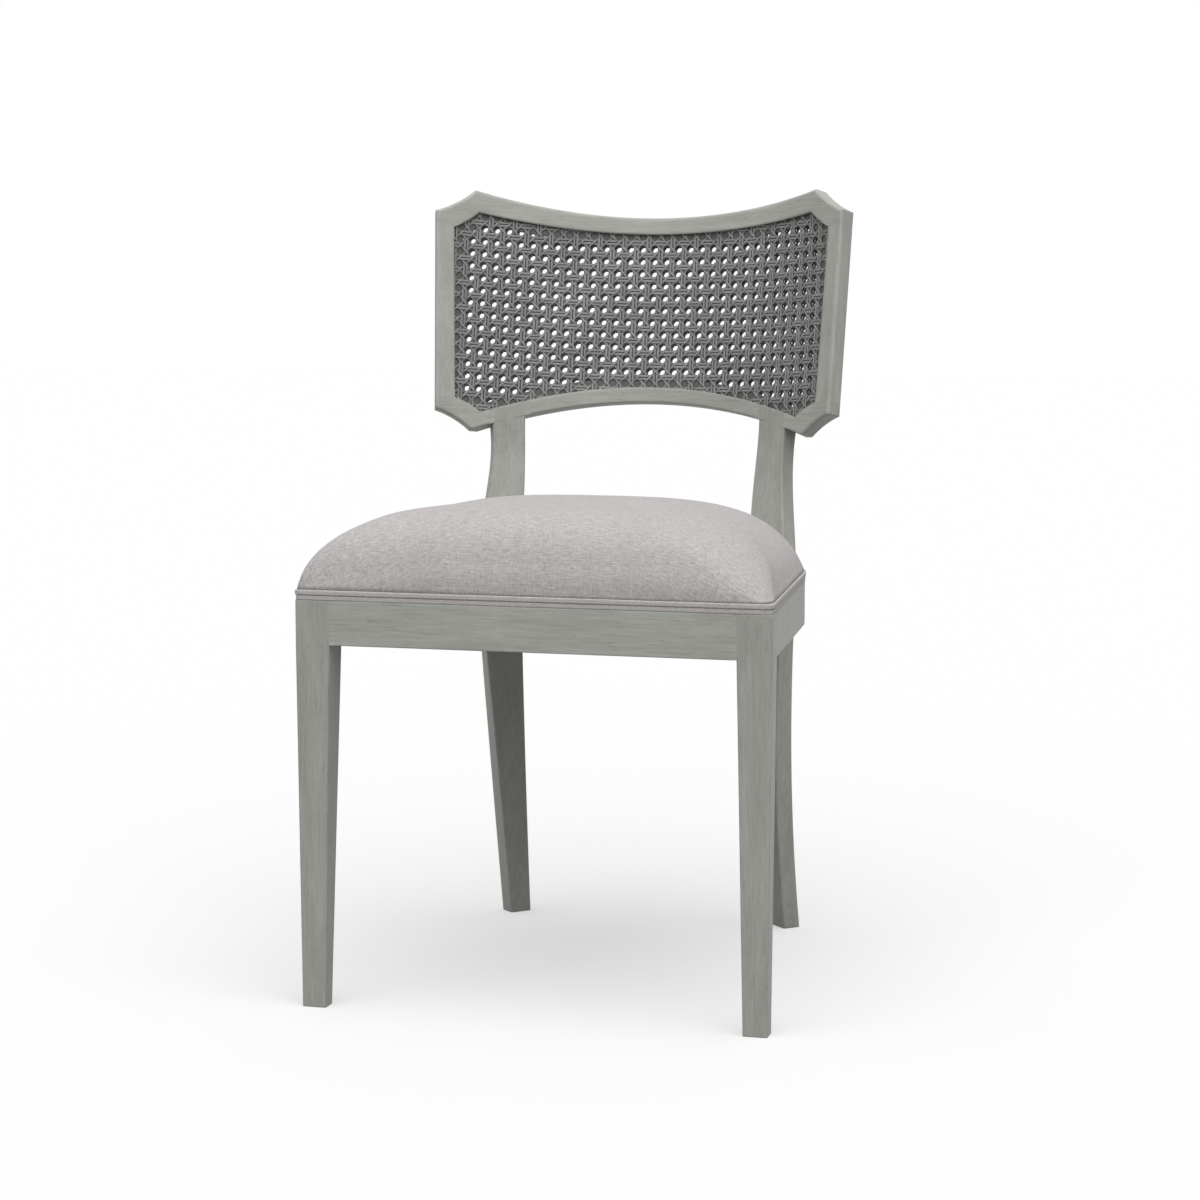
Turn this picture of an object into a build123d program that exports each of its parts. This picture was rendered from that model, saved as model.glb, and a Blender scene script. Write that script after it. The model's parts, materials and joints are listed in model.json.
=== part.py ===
from build123d import *
from dataclasses import dataclass
from math import asin, atan2, ceil, cos, degrees, hypot, radians, sin, sqrt, tan
import os

# Dining chair with a curved cane back, an upholstered seat and saber rear legs.
# Millimetres. X runs from the left to the right as seen from the front, Y from front to back, Z up.
# The seat's front face is laid out at Y = 0, and the finished chair is centred over its footprint.

# Seat frame
SEAT_HALF_WIDTH = 250.0
SEAT_DEPTH = 446.0
SIDE_TAPER = 5.3
REAR_CORNER_RADIUS = 160.0
REAR_ARC_RADIUS = 348.0
RAIL_TOP = 426.0
RAIL_HEIGHT = 46.0
RAIL_THICKNESS = 24.0
FRAME_CORNER_RADIUS = 1.6

# Front legs
FRONT_LEG_WIDTH = 36.8
FRONT_LEG_DEPTH = 38.6
FRONT_FOOT_WIDTH = 25.4
FRONT_FOOT_DEPTH = 20.5
FRONT_FOOT_INSET = 3.3
FRONT_FOOT_SETBACK = 0.6

# Rear legs, each one piece from the floor to the back frame
LEG_STATIONS = 8
REAR_FOOT_WIDTH = 26.4
REAR_FOOT_DEPTH = 21.2
LEG_TWIST = 6.9
FOOT_TWIST = 19.5
REAR_LEG_WIDTH = 49.0
REAR_LEG_DEPTH = 25.3
FOOT_SPLAY_BACK = 77.4
FOOT_SPLAY_OUT = 2.3
LEG_BOW_IN = 14.6
LEG_STANDOFF = 3.7
LEG_PAD_WIDTH = 45.0
LEG_PAD_REACH = 12.0
leg_corner_share = 0.216
saber_share = 0.71
flare_share = 0.31
swell_share = 0.75

# Posts, the rear legs between the seat and the back frame
POST_WIDTH = 37.0
POST_WAIST_WIDTH = 41.6
POST_WAIST_DEPTH = 22.4
WAIST_TWIST = 4.3
POST_DRAW_IN = 3.0
POST_BOW_IN = 2.4
POST_FACE_RELIEF = 0.5
POST_NECK_DROP = 3.5
POST_NECK_RISE = 30.0
post_waist_height_share = 0.62
post_waist_setback_share = 0.54

# Back frame, a slice of a leaning cylinder. Its own upright frame has the front face's middle as origin.
# Places on it are given as an arc along the front face and a height up the slope. Its widest arc follows
# the seat's width, and so do the posts and both outlines.
BACK_RADIUS = 342.0
BACK_THICKNESS = 23.0
BACK_LEAN = 9.57
BACK_OVERHANG = 51.4
BACK_SIDE_PROUD = 9.5
BACK_HEIGHT = 682.9
BACK_EDGE_RADIUS = 3.0
LIP_THICKNESS = 3.0
REBATE_WIDTH = 8.0
REBATE_CLEARANCE = 0.3
SPACER_OVERLAP = 12.0
back_end_turn_share = 0.43

# Cane
CANE_THICKNESS = 1.6
CANE_SPACING = 4.0
CANE_PITCH = 14.2
CANE_HOLE_DIAMETER = 7.6
CANE_HALF_COLUMNS = 13
CANE_ROWS_ABOVE = 7
CANE_ROWS_BELOW = 3

# Seat pad
COVER_THICKNESS = 1.5
DECK_THICKNESS = 9.5
DECK_INSET = 5.6
COVER_LIP = 25.0
CROWN_INSET = 1.5
CROWN_HEIGHT = 79.4
CROWN_CORNER_RADIUS = 6.0
WELT_DIAMETER = 5.3
UPPER_WELT_INSET = 0.5
WELT_CLEARANCE = 0.3
DUST_COVER_THICKNESS = 0.8
DUST_COVER_CLEARANCE = 0.5
crown_centre_share = 0.378
crown_front_power = 6.54
crown_front_round = 1.86
crown_side_power = 3.0
crown_side_round = 1.47
crown_rear_power = 3.76
crown_rear_round = 1.81
crown_height_shares = (0.0, 0.12, 0.3, 0.5, 0.7, 0.86, 0.95, 0.985)

# Fixings
DOWEL_DIAMETER = 8.0
DOWEL_LENGTH = 40.0
DOWEL_SPACING = 22.0
BACK_DOWEL_DIAMETER = 4.0
BACK_DOWEL_LENGTH = 20.0
BLOCK_HEIGHT = 40.0
BLOCK_DROP = 3.0
FRONT_BLOCK_REACH = 118.0
REAR_BLOCK_WIDTH = 84.0
REAR_BLOCK_THICKNESS = 22.0
SCREW_DIAMETER = 4.5
SCREW_HEAD_DIAMETER = 9.0
SCREW_HEAD_HEIGHT = 3.0
BLOCK_SCREW_LENGTH = 50.0
BLOCK_SCREW_SPACING = 20.0
DECK_SCREW_BITE = 6.0
BOLT_DIAMETER = 6.0
BOLT_HEAD_DIAMETER = 14.0
BOLT_HEAD_HEIGHT = 4.0
BOLT_BITE = 18.0
BOLT_SPACING = 26.0
front_deck_screw_share = 0.6

# Reach of the solids that only cut others
FAR = 600.0

RAIL_BOTTOM = RAIL_TOP - RAIL_HEIGHT
RAIL_MIDDLE = RAIL_TOP - RAIL_HEIGHT / 2
SEAM_HEIGHT = RAIL_TOP + COVER_THICKNESS + DECK_THICKNESS
LOWER_WELT_INSET = WELT_DIAMETER / 2
ARC_CENTRE_Y = SEAT_DEPTH - REAR_ARC_RADIUS
BACK_OUTER_RADIUS = BACK_RADIUS + BACK_THICKNESS
BACK_HALF_ARC = SEAT_HALF_WIDTH + BACK_SIDE_PROUD
FRONT_CANE_RADIUS = BACK_RADIUS + LIP_THICKNESS
SPACER_RADIUS = FRONT_CANE_RADIUS + CANE_THICKNESS
REAR_CANE_RADIUS = SPACER_RADIUS + CANE_SPACING
BEAD_RADIUS = REAR_CANE_RADIUS + CANE_THICKNESS
BACK_PLACE = Pos(0, SEAT_DEPTH + BACK_OVERHANG, BACK_HEIGHT) * Rot(-BACK_LEAN, 0, 0)
SIDES = {"left": -1, "right": 1}


@dataclass(frozen=True)
class BackOutline:
    """An outline on the back's front face: (arc, height) pairs on the right half, and two middle heights."""

    top_tip: tuple
    side_top: tuple
    side_bottom: tuple
    low_tip: tuple
    top_middle: float
    low_middle: float
    notch_sag: float

    def grown(self, amount):
        """The same outline moved outwards all round."""
        half = amount / 2
        return BackOutline(
            top_tip=(self.top_tip[0] + half, self.top_tip[1] + amount),
            side_top=(self.side_top[0] + amount, self.side_top[1] + half),
            side_bottom=(self.side_bottom[0] + amount, self.side_bottom[1] - half),
            low_tip=(self.low_tip[0] + half, self.low_tip[1] - amount),
            top_middle=self.top_middle + amount,
            low_middle=self.low_middle - amount,
            notch_sag=self.notch_sag,
        )


def from_side(inset, height):
    """A point of an outline, at so much arc in from the back's widest point."""
    return (BACK_HALF_ARC - inset, height)


FRAME_OUTLINE = BackOutline(
    top_tip=from_side(48.0, 156.6),
    side_top=from_side(0.0, 128.6),
    side_bottom=from_side(10.5, -97.8),
    low_tip=from_side(54.0, -118.6),
    top_middle=135.0,
    low_middle=-77.9,
    notch_sag=2.6,
)
SIGHT_OUTLINE = BackOutline(
    top_tip=from_side(54.0, 131.2),
    side_top=from_side(24.0, 112.0),
    side_bottom=from_side(34.5, -82.8),
    low_tip=from_side(66.1, -97.8),
    top_middle=115.8,
    low_middle=-60.7,
    notch_sag=1.5,
)


# Seat outlines in plan


def mirrored_arc(points):
    """The three points of an arc on the right, seen on the left and run the same way round."""
    return [(-x, y) for x, y in reversed(points)]


def middle_of(start, end):
    return ((start[0] + end[0]) / 2, (start[1] + end[1]) / 2)


def rear_corner_centre():
    """Centre of the right rear corner's arc, which meets the side and the rear arc smoothly."""
    taper = radians(SIDE_TAPER)
    start_x = SEAT_HALF_WIDTH - REAR_CORNER_RADIUS * cos(taper)
    start_y = -REAR_CORNER_RADIUS * sin(taper) - ARC_CENTRE_Y
    run = start_y * cos(taper) - start_x * sin(taper)
    gap = REAR_ARC_RADIUS - REAR_CORNER_RADIUS
    length = -run + sqrt(run**2 - start_x**2 - start_y**2 + gap**2)
    return (start_x - sin(taper) * length, start_y + cos(taper) * length + ARC_CENTRE_Y)


def seat_edges(inset, front_corner):
    """The seat's outline moved inwards, as eight edges of three points each, anticlockwise from above."""
    taper = radians(SIDE_TAPER)
    normal = (cos(taper), sin(taper))
    side = (SEAT_HALF_WIDTH - inset * normal[0], -inset * normal[1])

    corner_y = inset + front_corner
    reach = side[0] * normal[0] + side[1] * normal[1] - front_corner
    corner_x = (reach - normal[1] * corner_y) / normal[0]
    bisector = hypot(normal[0], normal[1] - 1)
    front_arc = [
        (corner_x, inset),
        (
            corner_x + front_corner * normal[0] / bisector,
            corner_y + front_corner * (normal[1] - 1) / bisector,
        ),
        (corner_x + front_corner * normal[0], corner_y + front_corner * normal[1]),
    ]

    rear_corner = REAR_CORNER_RADIUS - inset
    centre = rear_corner_centre()
    gap = REAR_ARC_RADIUS - REAR_CORNER_RADIUS
    outwards = (centre[0] / gap, (centre[1] - ARC_CENTRE_Y) / gap)
    span = hypot(normal[0] + outwards[0], normal[1] + outwards[1])
    halfway = ((normal[0] + outwards[0]) / span, (normal[1] + outwards[1]) / span)
    rear_arc = [
        (centre[0] + rear_corner * way[0], centre[1] + rear_corner * way[1])
        for way in (normal, halfway, outwards)
    ]

    right_side = [front_arc[2], middle_of(front_arc[2], rear_arc[0]), rear_arc[0]]
    front = [(-corner_x, inset), (0, inset), (corner_x, inset)]
    back = [rear_arc[2], (0, SEAT_DEPTH - inset), (-rear_arc[2][0], rear_arc[2][1])]
    return [
        front,
        front_arc,
        right_side,
        rear_arc,
        back,
        mirrored_arc(rear_arc),
        mirrored_arc(right_side),
        mirrored_arc(front_arc),
    ]


STRAIGHT_EDGES = (0, 2, 6)


def seat_wire_edges(inset, front_corner, height):
    """The outline's edges as curves at a height."""
    curves = []
    for index, points in enumerate(seat_edges(inset, front_corner)):
        placed = [(x, y, height) for x, y in points]
        if index in STRAIGHT_EDGES:
            curves.append(Line(placed[0], placed[2]))
        else:
            curves.append(ThreePointArc(*placed))
    return curves


def seat_prism(inset, front_corner, low, high):
    """A block with the seat's outline, moved inwards, between two heights."""
    face = make_face(seat_wire_edges(inset, front_corner, low))
    return extrude(face, amount=high - low, dir=(0, 0, 1))


def leg_direction():
    """The way from the rear corner's centre to the right rear leg, in degrees from the Y axis."""
    x, y = rear_corner_centre()
    join = degrees(atan2(x, y - ARC_CENTRE_Y))
    return join + (90 - SIDE_TAPER - join) * leg_corner_share


def leg_place(offset, height):
    """A place at the right rear leg, so far outside the rails: local Y points straight outwards."""
    x, y = rear_corner_centre()
    return Pos(x, y, height) * Rot(0, 0, -leg_direction()) * Pos(0, REAR_CORNER_RADIUS + offset, 0)


def leg_seat():
    """The rear leg's middle at the height of the rails' middle."""
    face = leg_place(LEG_STANDOFF, RAIL_MIDDLE) * Rot(0, 0, LEG_TWIST)
    return face * Pos(0, REAR_LEG_DEPTH / 2, 0)


# Fixings


def headed_fastener(diameter, length, head_diameter, head_height):
    """A screw or bolt: the shank runs up from the origin and the head hangs below it."""
    shank = Pos(0, 0, length / 2) * Cylinder(diameter / 2, length)
    head = Pos(0, 0, -head_height / 2) * Cylinder(head_diameter / 2, head_height)
    return shank + head


def wood_screw(length):
    return headed_fastener(SCREW_DIAMETER, length, SCREW_HEAD_DIAMETER, SCREW_HEAD_HEIGHT)


def frame_dowels():
    """Two dowels across each joint of a front leg with the front rail and with a side rail."""
    taper = radians(SIDE_TAPER)
    peg = Cylinder(DOWEL_DIAMETER / 2, DOWEL_LENGTH)
    front_x = SEAT_HALF_WIDTH - FRONT_LEG_WIDTH
    side_x = SEAT_HALF_WIDTH - FRONT_LEG_DEPTH * tan(taper) - RAIL_THICKNESS / 2 / cos(taper)
    pegs = []
    for offset in (-DOWEL_SPACING / 2, DOWEL_SPACING / 2):
        height = RAIL_MIDDLE + offset
        pegs.append(Pos(front_x, RAIL_THICKNESS / 2, height) * Rot(0, 90, 0) * peg)
        pegs.append(Pos(side_x, FRONT_LEG_DEPTH, height) * Rot(0, 0, SIDE_TAPER) * Rot(90, 0, 0) * peg)
    return pegs + [mirror(each, about=Plane.YZ) for each in pegs]


def block_screws():
    """Two screws through each front corner block, square to its long face, into the leg."""
    half_reach = FRONT_BLOCK_REACH / 2
    screws = []
    for offset in (-BLOCK_SCREW_SPACING / 2, BLOCK_SCREW_SPACING / 2):
        place = Pos(SEAT_HALF_WIDTH - half_reach, half_reach, RAIL_MIDDLE + offset)
        screws.append(place * Rot(0, 0, -45) * Rot(0, 90, 0) * wood_screw(BLOCK_SCREW_LENGTH))
    return screws + [mirror(each, about=Plane.YZ) for each in screws]


def leg_bolts():
    """Two bolts for each rear leg, from inside the seat through the block and a rail."""
    length = REAR_BLOCK_THICKNESS + RAIL_THICKNESS + LEG_STANDOFF + BOLT_BITE
    bolt = headed_fastener(BOLT_DIAMETER, length, BOLT_HEAD_DIAMETER, BOLT_HEAD_HEIGHT)
    bolts = []
    for offset in (-BOLT_SPACING / 2, BOLT_SPACING / 2):
        place = leg_place(-RAIL_THICKNESS - REAR_BLOCK_THICKNESS, RAIL_MIDDLE) * Pos(offset, 0, 0)
        bolts.append(place * Rot(-90, 0, 0) * bolt)
    return bolts + [mirror(each, about=Plane.YZ) for each in bolts]


def deck_screws():
    """One upright screw through each corner block into the deck."""
    low = RAIL_TOP - BLOCK_DROP - BLOCK_HEIGHT
    length = BLOCK_HEIGHT + BLOCK_DROP + COVER_THICKNESS + DECK_SCREW_BITE
    front_x = SEAT_HALF_WIDTH - FRONT_BLOCK_REACH * front_deck_screw_share
    front = Pos(front_x, RAIL_THICKNESS * 3 / 2, low) * wood_screw(length)
    rear = leg_place(-RAIL_THICKNESS - REAR_BLOCK_THICKNESS / 2, low) * wood_screw(length)
    screws = [front, rear]
    return screws + [mirror(each, about=Plane.YZ) for each in screws]


def back_dowels():
    """One dowel across each joint of the back frame."""
    peg = Cylinder(BACK_DOWEL_DIAMETER / 2, BACK_DOWEL_LENGTH)
    radius = (FRONT_CANE_RADIUS + BACK_OUTER_RADIUS) / 2
    frame, sight = FRAME_OUTLINE, SIGHT_OUTLINE
    pegs = []
    for upper, lower in ((frame.side_top, sight.side_top), (frame.side_bottom, sight.side_bottom)):
        arc = arc_behind((upper[0] + lower[0] + REBATE_WIDTH) / 2, radius)
        pegs.append(back_place(arc, radius, lower[1]) * peg)
    for edge in (-POST_WIDTH / 2, POST_WIDTH / 2):
        arc = post_arc() + edge
        height = (arch_height(frame, arc) + arch_height(sight, arc) - REBATE_WIDTH) / 2
        slope = degrees(asin(front_point(arc)[0] / arch_radius(frame)))
        pegs.append(back_place(arc, radius, height) * Rot(0, 90 + slope, 0) * peg)
    placed = [BACK_PLACE * each for each in pegs]
    return placed + [mirror(each, about=Plane.YZ) for each in placed]


# Seat frame pieces


def front_leg():
    """A front leg: square beside the rails, tapering on its two inner faces to the foot."""
    slope = tan(radians(SIDE_TAPER))
    inner = SEAT_HALF_WIDTH - FRONT_LEG_WIDTH
    head = [
        (inner, 0),
        (SEAT_HALF_WIDTH, 0),
        (SEAT_HALF_WIDTH - FRONT_LEG_DEPTH * slope, FRONT_LEG_DEPTH),
        (inner, FRONT_LEG_DEPTH),
    ]
    outer = SEAT_HALF_WIDTH - FRONT_FOOT_INSET
    foot = [
        (outer - FRONT_FOOT_WIDTH, FRONT_FOOT_SETBACK),
        (outer, FRONT_FOOT_SETBACK),
        (outer, FRONT_FOOT_SETBACK + FRONT_FOOT_DEPTH),
        (outer - FRONT_FOOT_WIDTH, FRONT_FOOT_SETBACK + FRONT_FOOT_DEPTH),
    ]
    block = extrude(Pos(0, 0, RAIL_BOTTOM) * make_face(Polyline(*head, close=True)), amount=RAIL_HEIGHT)
    outer_edge = block.edges().filter_by(Axis.Z).sort_by(lambda edge: edge.center().Y - edge.center().X)[0]
    block = fillet(outer_edge, FRAME_CORNER_RADIUS)
    sections = []
    for points, height in ((foot, 0), (head, RAIL_BOTTOM)):
        face = make_face(Polyline(*points, close=True))
        sections.append(Pos(0, 0, height) * fillet(face.vertices(), FRAME_CORNER_RADIUS))
    return block + loft(sections, ruled=True)


def front_rail():
    """The straight rail between the front legs, flush with their front faces."""
    length = 2 * (SEAT_HALF_WIDTH - FRONT_LEG_WIDTH)
    return Pos(0, RAIL_THICKNESS / 2, RAIL_MIDDLE) * Box(length, RAIL_THICKNESS, RAIL_HEIGHT)


def seat_ring():
    """The band that the side rails and the rear rail are parts of."""
    outside = seat_prism(0, FRAME_CORNER_RADIUS, RAIL_BOTTOM, RAIL_TOP)
    return outside - seat_prism(RAIL_THICKNESS, FRAME_CORNER_RADIUS, RAIL_BOTTOM, RAIL_TOP)


def beyond_leg():
    """The space to the right of the right rear leg's middle plane."""
    return leg_place(0, 0) * Pos(FAR, 0, 0) * Box(2 * FAR, 4 * FAR, 4 * FAR)


def side_rail(ring):
    """The right side rail: straight from the front leg, then bent round to the rear leg."""
    behind_leg = Pos(FAR, FRONT_LEG_DEPTH + FAR, 0) * Box(2 * FAR, 2 * FAR, 4 * FAR)
    return ring & behind_leg & beyond_leg()


def rear_rail(ring):
    """The bent rail between the middles of the two rear legs."""
    rear_half = Pos(0, ARC_CENTRE_Y + FAR, 0) * Box(2 * FAR, 2 * FAR, 4 * FAR)
    outside = beyond_leg()
    return (ring & rear_half) - outside - mirror(outside, about=Plane.YZ)


def front_block(ring, leg):
    """A three-cornered block behind the front leg, glued to the front and side rails."""
    corner = [
        (SEAT_HALF_WIDTH, 0),
        (SEAT_HALF_WIDTH, FRONT_BLOCK_REACH),
        (SEAT_HALF_WIDTH - FRONT_BLOCK_REACH, 0),
    ]
    low = RAIL_TOP - BLOCK_DROP - BLOCK_HEIGHT
    face = Pos(0, 0, low) * make_face(Polyline(*corner, close=True))
    prism = extrude(face, amount=BLOCK_HEIGHT, dir=(0, 0, 1))
    inside = seat_prism(RAIL_THICKNESS, FRAME_CORNER_RADIUS, RAIL_BOTTOM, RAIL_TOP)
    return (prism & inside) - leg


def rear_block():
    """A block inside the bent rails, across the joint behind which the rear leg stands."""
    height = RAIL_TOP - BLOCK_DROP - BLOCK_HEIGHT / 2
    slab = Box(REAR_BLOCK_WIDTH, 2 * REAR_BLOCK_THICKNESS, BLOCK_HEIGHT)
    placed = leg_place(-RAIL_THICKNESS, height) * slab
    return placed & seat_prism(RAIL_THICKNESS, FRAME_CORNER_RADIUS, RAIL_BOTTOM, RAIL_TOP)


# Seat pad


def crown_point(point, level):
    """Draw a point of the seam inwards to where the crown reaches a share of its height."""
    centre_y = SEAT_DEPTH * crown_centre_share
    run = point[1] - centre_y
    lean = run / hypot(point[0], run)
    rearward = max(lean, 0)
    forward = max(-lean, 0)
    sideways = 1 - rearward - forward
    power = (
        crown_front_power * forward
        + crown_side_power * sideways
        + crown_rear_power * rearward
    )
    roundness = (
        crown_front_round * forward
        + crown_side_round * sideways
        + crown_rear_round * rearward
    )
    share = (1 - level**roundness) ** (1 / power)
    return (point[0] * share, centre_y + run * share)


def crown(inset, low, rise):
    """The cushion's dome above the seam: steep at the front, falling away gently to the back."""
    sections = []
    for level in crown_height_shares:
        height = low + rise * level
        curves = []
        for index, points in enumerate(seat_edges(inset, CROWN_CORNER_RADIUS)):
            moved = [crown_point(point, level) for point in points]
            placed = [(x, y, height) for x, y in moved]
            if level == 0 and index in STRAIGHT_EDGES:
                curves.append(Line(placed[0], placed[2]))
            else:
                curves.append(ThreePointArc(*placed))
        sections.append(make_face(curves))
    return loft(sections)


def seat_foam():
    """The foam under the cover, resting on the deck and let in round its foot for the seam."""
    dome = crown(CROWN_INSET + COVER_THICKNESS, SEAM_HEIGHT, CROWN_HEIGHT - COVER_THICKNESS)
    top = SEAM_HEIGHT + COVER_THICKNESS
    seam = seat_prism(0, CROWN_CORNER_RADIUS, SEAM_HEIGHT, top)
    foot = seat_prism(DECK_INSET + COVER_THICKNESS, CROWN_CORNER_RADIUS, SEAM_HEIGHT, top)
    return dome - (seam - foot)


def seat_deck():
    """The board that the foam lies on."""
    inset = DECK_INSET + COVER_THICKNESS
    return seat_prism(inset, CROWN_CORNER_RADIUS, RAIL_TOP + COVER_THICKNESS, SEAM_HEIGHT)


def seat_cover(foam, deck):
    """The cover: over the foam, down round the deck's edge and back under it as a lip."""
    dome = crown(CROWN_INSET, SEAM_HEIGHT, CROWN_HEIGHT)
    band = seat_prism(DECK_INSET, CROWN_CORNER_RADIUS, RAIL_TOP, SEAM_HEIGHT)
    hole = seat_prism(DECK_INSET + COVER_LIP, CROWN_CORNER_RADIUS, RAIL_TOP, RAIL_TOP + COVER_THICKNESS)
    return dome + band - foam - deck - hole


def welt(inset, height):
    """A cord in the seam, following the seat's outline."""
    path = Wire(seat_wire_edges(inset, CROWN_CORNER_RADIUS, height))
    start = Plane(origin=path @ 0, z_dir=path % 0)
    return sweep(start * Circle(WELT_DIAMETER / 2), path=path)


def dust_cover(legs):
    """A thin cloth under the deck, inside the rails."""
    inset = RAIL_THICKNESS + DUST_COVER_CLEARANCE
    sheet = seat_prism(inset, CROWN_CORNER_RADIUS, RAIL_TOP - DUST_COVER_THICKNESS, RAIL_TOP)
    return sheet - legs


# Back frame


def front_point(arc):
    """X and Y of a place on the front face, in the back's own frame."""
    angle = arc / BACK_RADIUS
    return BACK_RADIUS * sin(angle), BACK_RADIUS * cos(angle) - BACK_RADIUS


def back_place(arc, radius, height):
    """A place in the back's thickness: local X runs along the curve and Y backwards."""
    angle = degrees(arc / BACK_RADIUS)
    return Pos(0, -BACK_RADIUS, height) * Rot(0, 0, -angle) * Pos(0, radius, 0)


def arch_radius(outline):
    """Radius of the outline's lower arch."""
    half = front_point(outline.low_tip[0])[0]
    sag = outline.low_middle - outline.low_tip[1]
    return (half**2 + sag**2) / (2 * sag)


def arch_height(outline, arc):
    """Height of the outline's lower arch at an arc from the middle."""
    radius = arch_radius(outline)
    return outline.low_middle - radius + sqrt(radius**2 - front_point(arc)[0] ** 2)


def back_shell(inner, outer):
    """The rear part of a tube about the back's axis, taller than the back."""
    tube = Cylinder(outer, FAR) - Cylinder(inner, FAR)
    rear = Pos(0, FAR, 0) * Box(4 * FAR, 2 * FAR, 2 * FAR)
    return Pos(0, -BACK_RADIUS, 0) * (tube & rear)


def hollowed(start, end, sag):
    """The middle point of a shallow arc between two points, hollowed towards the back's middle."""
    middle = middle_of(start, end)
    length = hypot(end[0] - start[0], end[1] - start[1])
    normal = ((start[1] - end[1]) / length, (end[0] - start[0]) / length)
    if normal[0] * middle[0] + normal[1] * middle[1] > 0:
        normal = (-normal[0], -normal[1])
    return (middle[0] + sag * normal[0], middle[1] + sag * normal[1])


def middle_prism(outline):
    """The space between the outline's top and bottom arches, square to the back's middle."""
    top_x = front_point(outline.top_tip[0])[0]
    low_x = front_point(outline.low_tip[0])[0]
    top, low = outline.top_tip[1], outline.low_tip[1]
    curves = [
        Line((-FAR, 0, top), (-top_x, 0, top)),
        ThreePointArc((-top_x, 0, top), (0, 0, outline.top_middle), (top_x, 0, top)),
        Line((top_x, 0, top), (FAR, 0, top)),
        Line((FAR, 0, top), (FAR, 0, low)),
        Line((FAR, 0, low), (low_x, 0, low)),
        ThreePointArc((low_x, 0, low), (0, 0, outline.low_middle), (-low_x, 0, low)),
        Line((-low_x, 0, low), (-FAR, 0, low)),
        Line((-FAR, 0, low), (-FAR, 0, top)),
    ]
    return extrude(make_face(curves), amount=FAR, both=True)


def end_turn():
    """The angle that the cut of the back's right end is turned by, in radians."""
    return FRAME_OUTLINE.side_top[0] / BACK_RADIUS * back_end_turn_share


def arc_behind(arc, radius):
    """Distance round the front face of what lies behind a place near the right end, along the end's cut."""
    turn = end_turn()
    across = BACK_RADIUS * sin(arc / BACK_RADIUS - turn)
    return BACK_RADIUS * (turn + asin(across / radius))


def end_prism(outline):
    """The space inside the outline's right side and its two hollow corners."""
    turn = end_turn()

    def flat(place):
        x, y = front_point(place[0])
        return (x * cos(turn) - y * sin(turn), place[1])

    def solid(point):
        return (point[0] * cos(turn), -point[0] * sin(turn), point[1])

    tip, top = flat(outline.top_tip), flat(outline.side_top)
    bottom, low = flat(outline.side_bottom), flat(outline.low_tip)
    upper = hollowed(tip, top, outline.notch_sag)
    lower = hollowed(bottom, low, outline.notch_sag)
    curves = [
        Line(solid((-FAR, FAR)), solid((tip[0], FAR))),
        Line(solid((tip[0], FAR)), solid(tip)),
        ThreePointArc(solid(tip), solid(upper), solid(top)),
        Line(solid(top), solid(bottom)),
        ThreePointArc(solid(bottom), solid(lower), solid(low)),
        Line(solid(low), solid((low[0], -FAR))),
        Line(solid((low[0], -FAR)), solid((-FAR, -FAR))),
        Line(solid((-FAR, -FAR)), solid((-FAR, FAR))),
    ]
    return extrude(make_face(curves), amount=FAR, dir=(sin(turn), cos(turn), 0), both=True)


def back_prism(outline):
    """The space inside an outline, through the back's whole thickness."""
    right = end_prism(outline)
    return middle_prism(outline) & right & mirror(right, about=Plane.YZ)


def back_slab(low, high):
    """The space between two heights up the slope."""
    return Pos(0, 0, (low + high) / 2) * Box(4 * FAR, 4 * FAR, high - low)


def right_half():
    return Pos(FAR, 0, 0) * Box(2 * FAR, 4 * FAR, 4 * FAR)


def back_blank():
    """The whole back frame as one ring, rounded outside and rebated from behind for the cane."""
    board = back_shell(BACK_RADIUS, BACK_OUTER_RADIUS) & back_prism(FRAME_OUTLINE)
    faces = board.faces().filter_by(GeomType.CYLINDER).sort_by(lambda face: face.area)[-2:]
    front = faces.sort_by(lambda face: face.center().Y)[0]
    rounded = []
    for edge in front.outer_wire().edges():
        middle = edge.center()
        under_arch = middle.Z < 0 and abs(middle.X) < front_point(FRAME_OUTLINE.low_tip[0])[0]
        if not under_arch:
            rounded.append(edge)
    board = fillet(rounded, BACK_EDGE_RADIUS)
    behind_lip = back_shell(FRONT_CANE_RADIUS, BACK_OUTER_RADIUS + FAR / 2)
    rebate = back_prism(SIGHT_OUTLINE.grown(REBATE_WIDTH)) & behind_lip
    return board - back_prism(SIGHT_OUTLINE) - rebate


def beside_opening():
    """The spaces beside the opening, between the ends of its two upright sides."""
    inner = front_point(SIGHT_OUTLINE.low_tip[0])[0]
    low, high = SIGHT_OUTLINE.side_bottom[1], SIGHT_OUTLINE.side_top[1]
    right = Pos(inner + FAR, 0, (low + high) / 2) * Box(2 * FAR, 4 * FAR, high - low)
    return right + mirror(right, about=Plane.YZ)


def post_arc():
    """The right post's place along the back's front face."""
    middle = leg_seat().position.X - POST_DRAW_IN
    return asin(middle / (BACK_RADIUS + BACK_THICKNESS / 2)) * BACK_RADIUS


def post_space():
    """The upright space that the right post takes up in the back frame."""
    return back_place(post_arc(), BACK_RADIUS, 0) * Box(POST_WIDTH, FAR / 2, 2 * FAR)


def outside_post():
    """The space to the right of the right post."""
    edge = back_place(post_arc(), BACK_RADIUS, 0) * Pos(POST_WIDTH / 2, 0, 0)
    return edge * Pos(FAR, 0, 0) * Box(2 * FAR, 4 * FAR, 4 * FAR)


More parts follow.
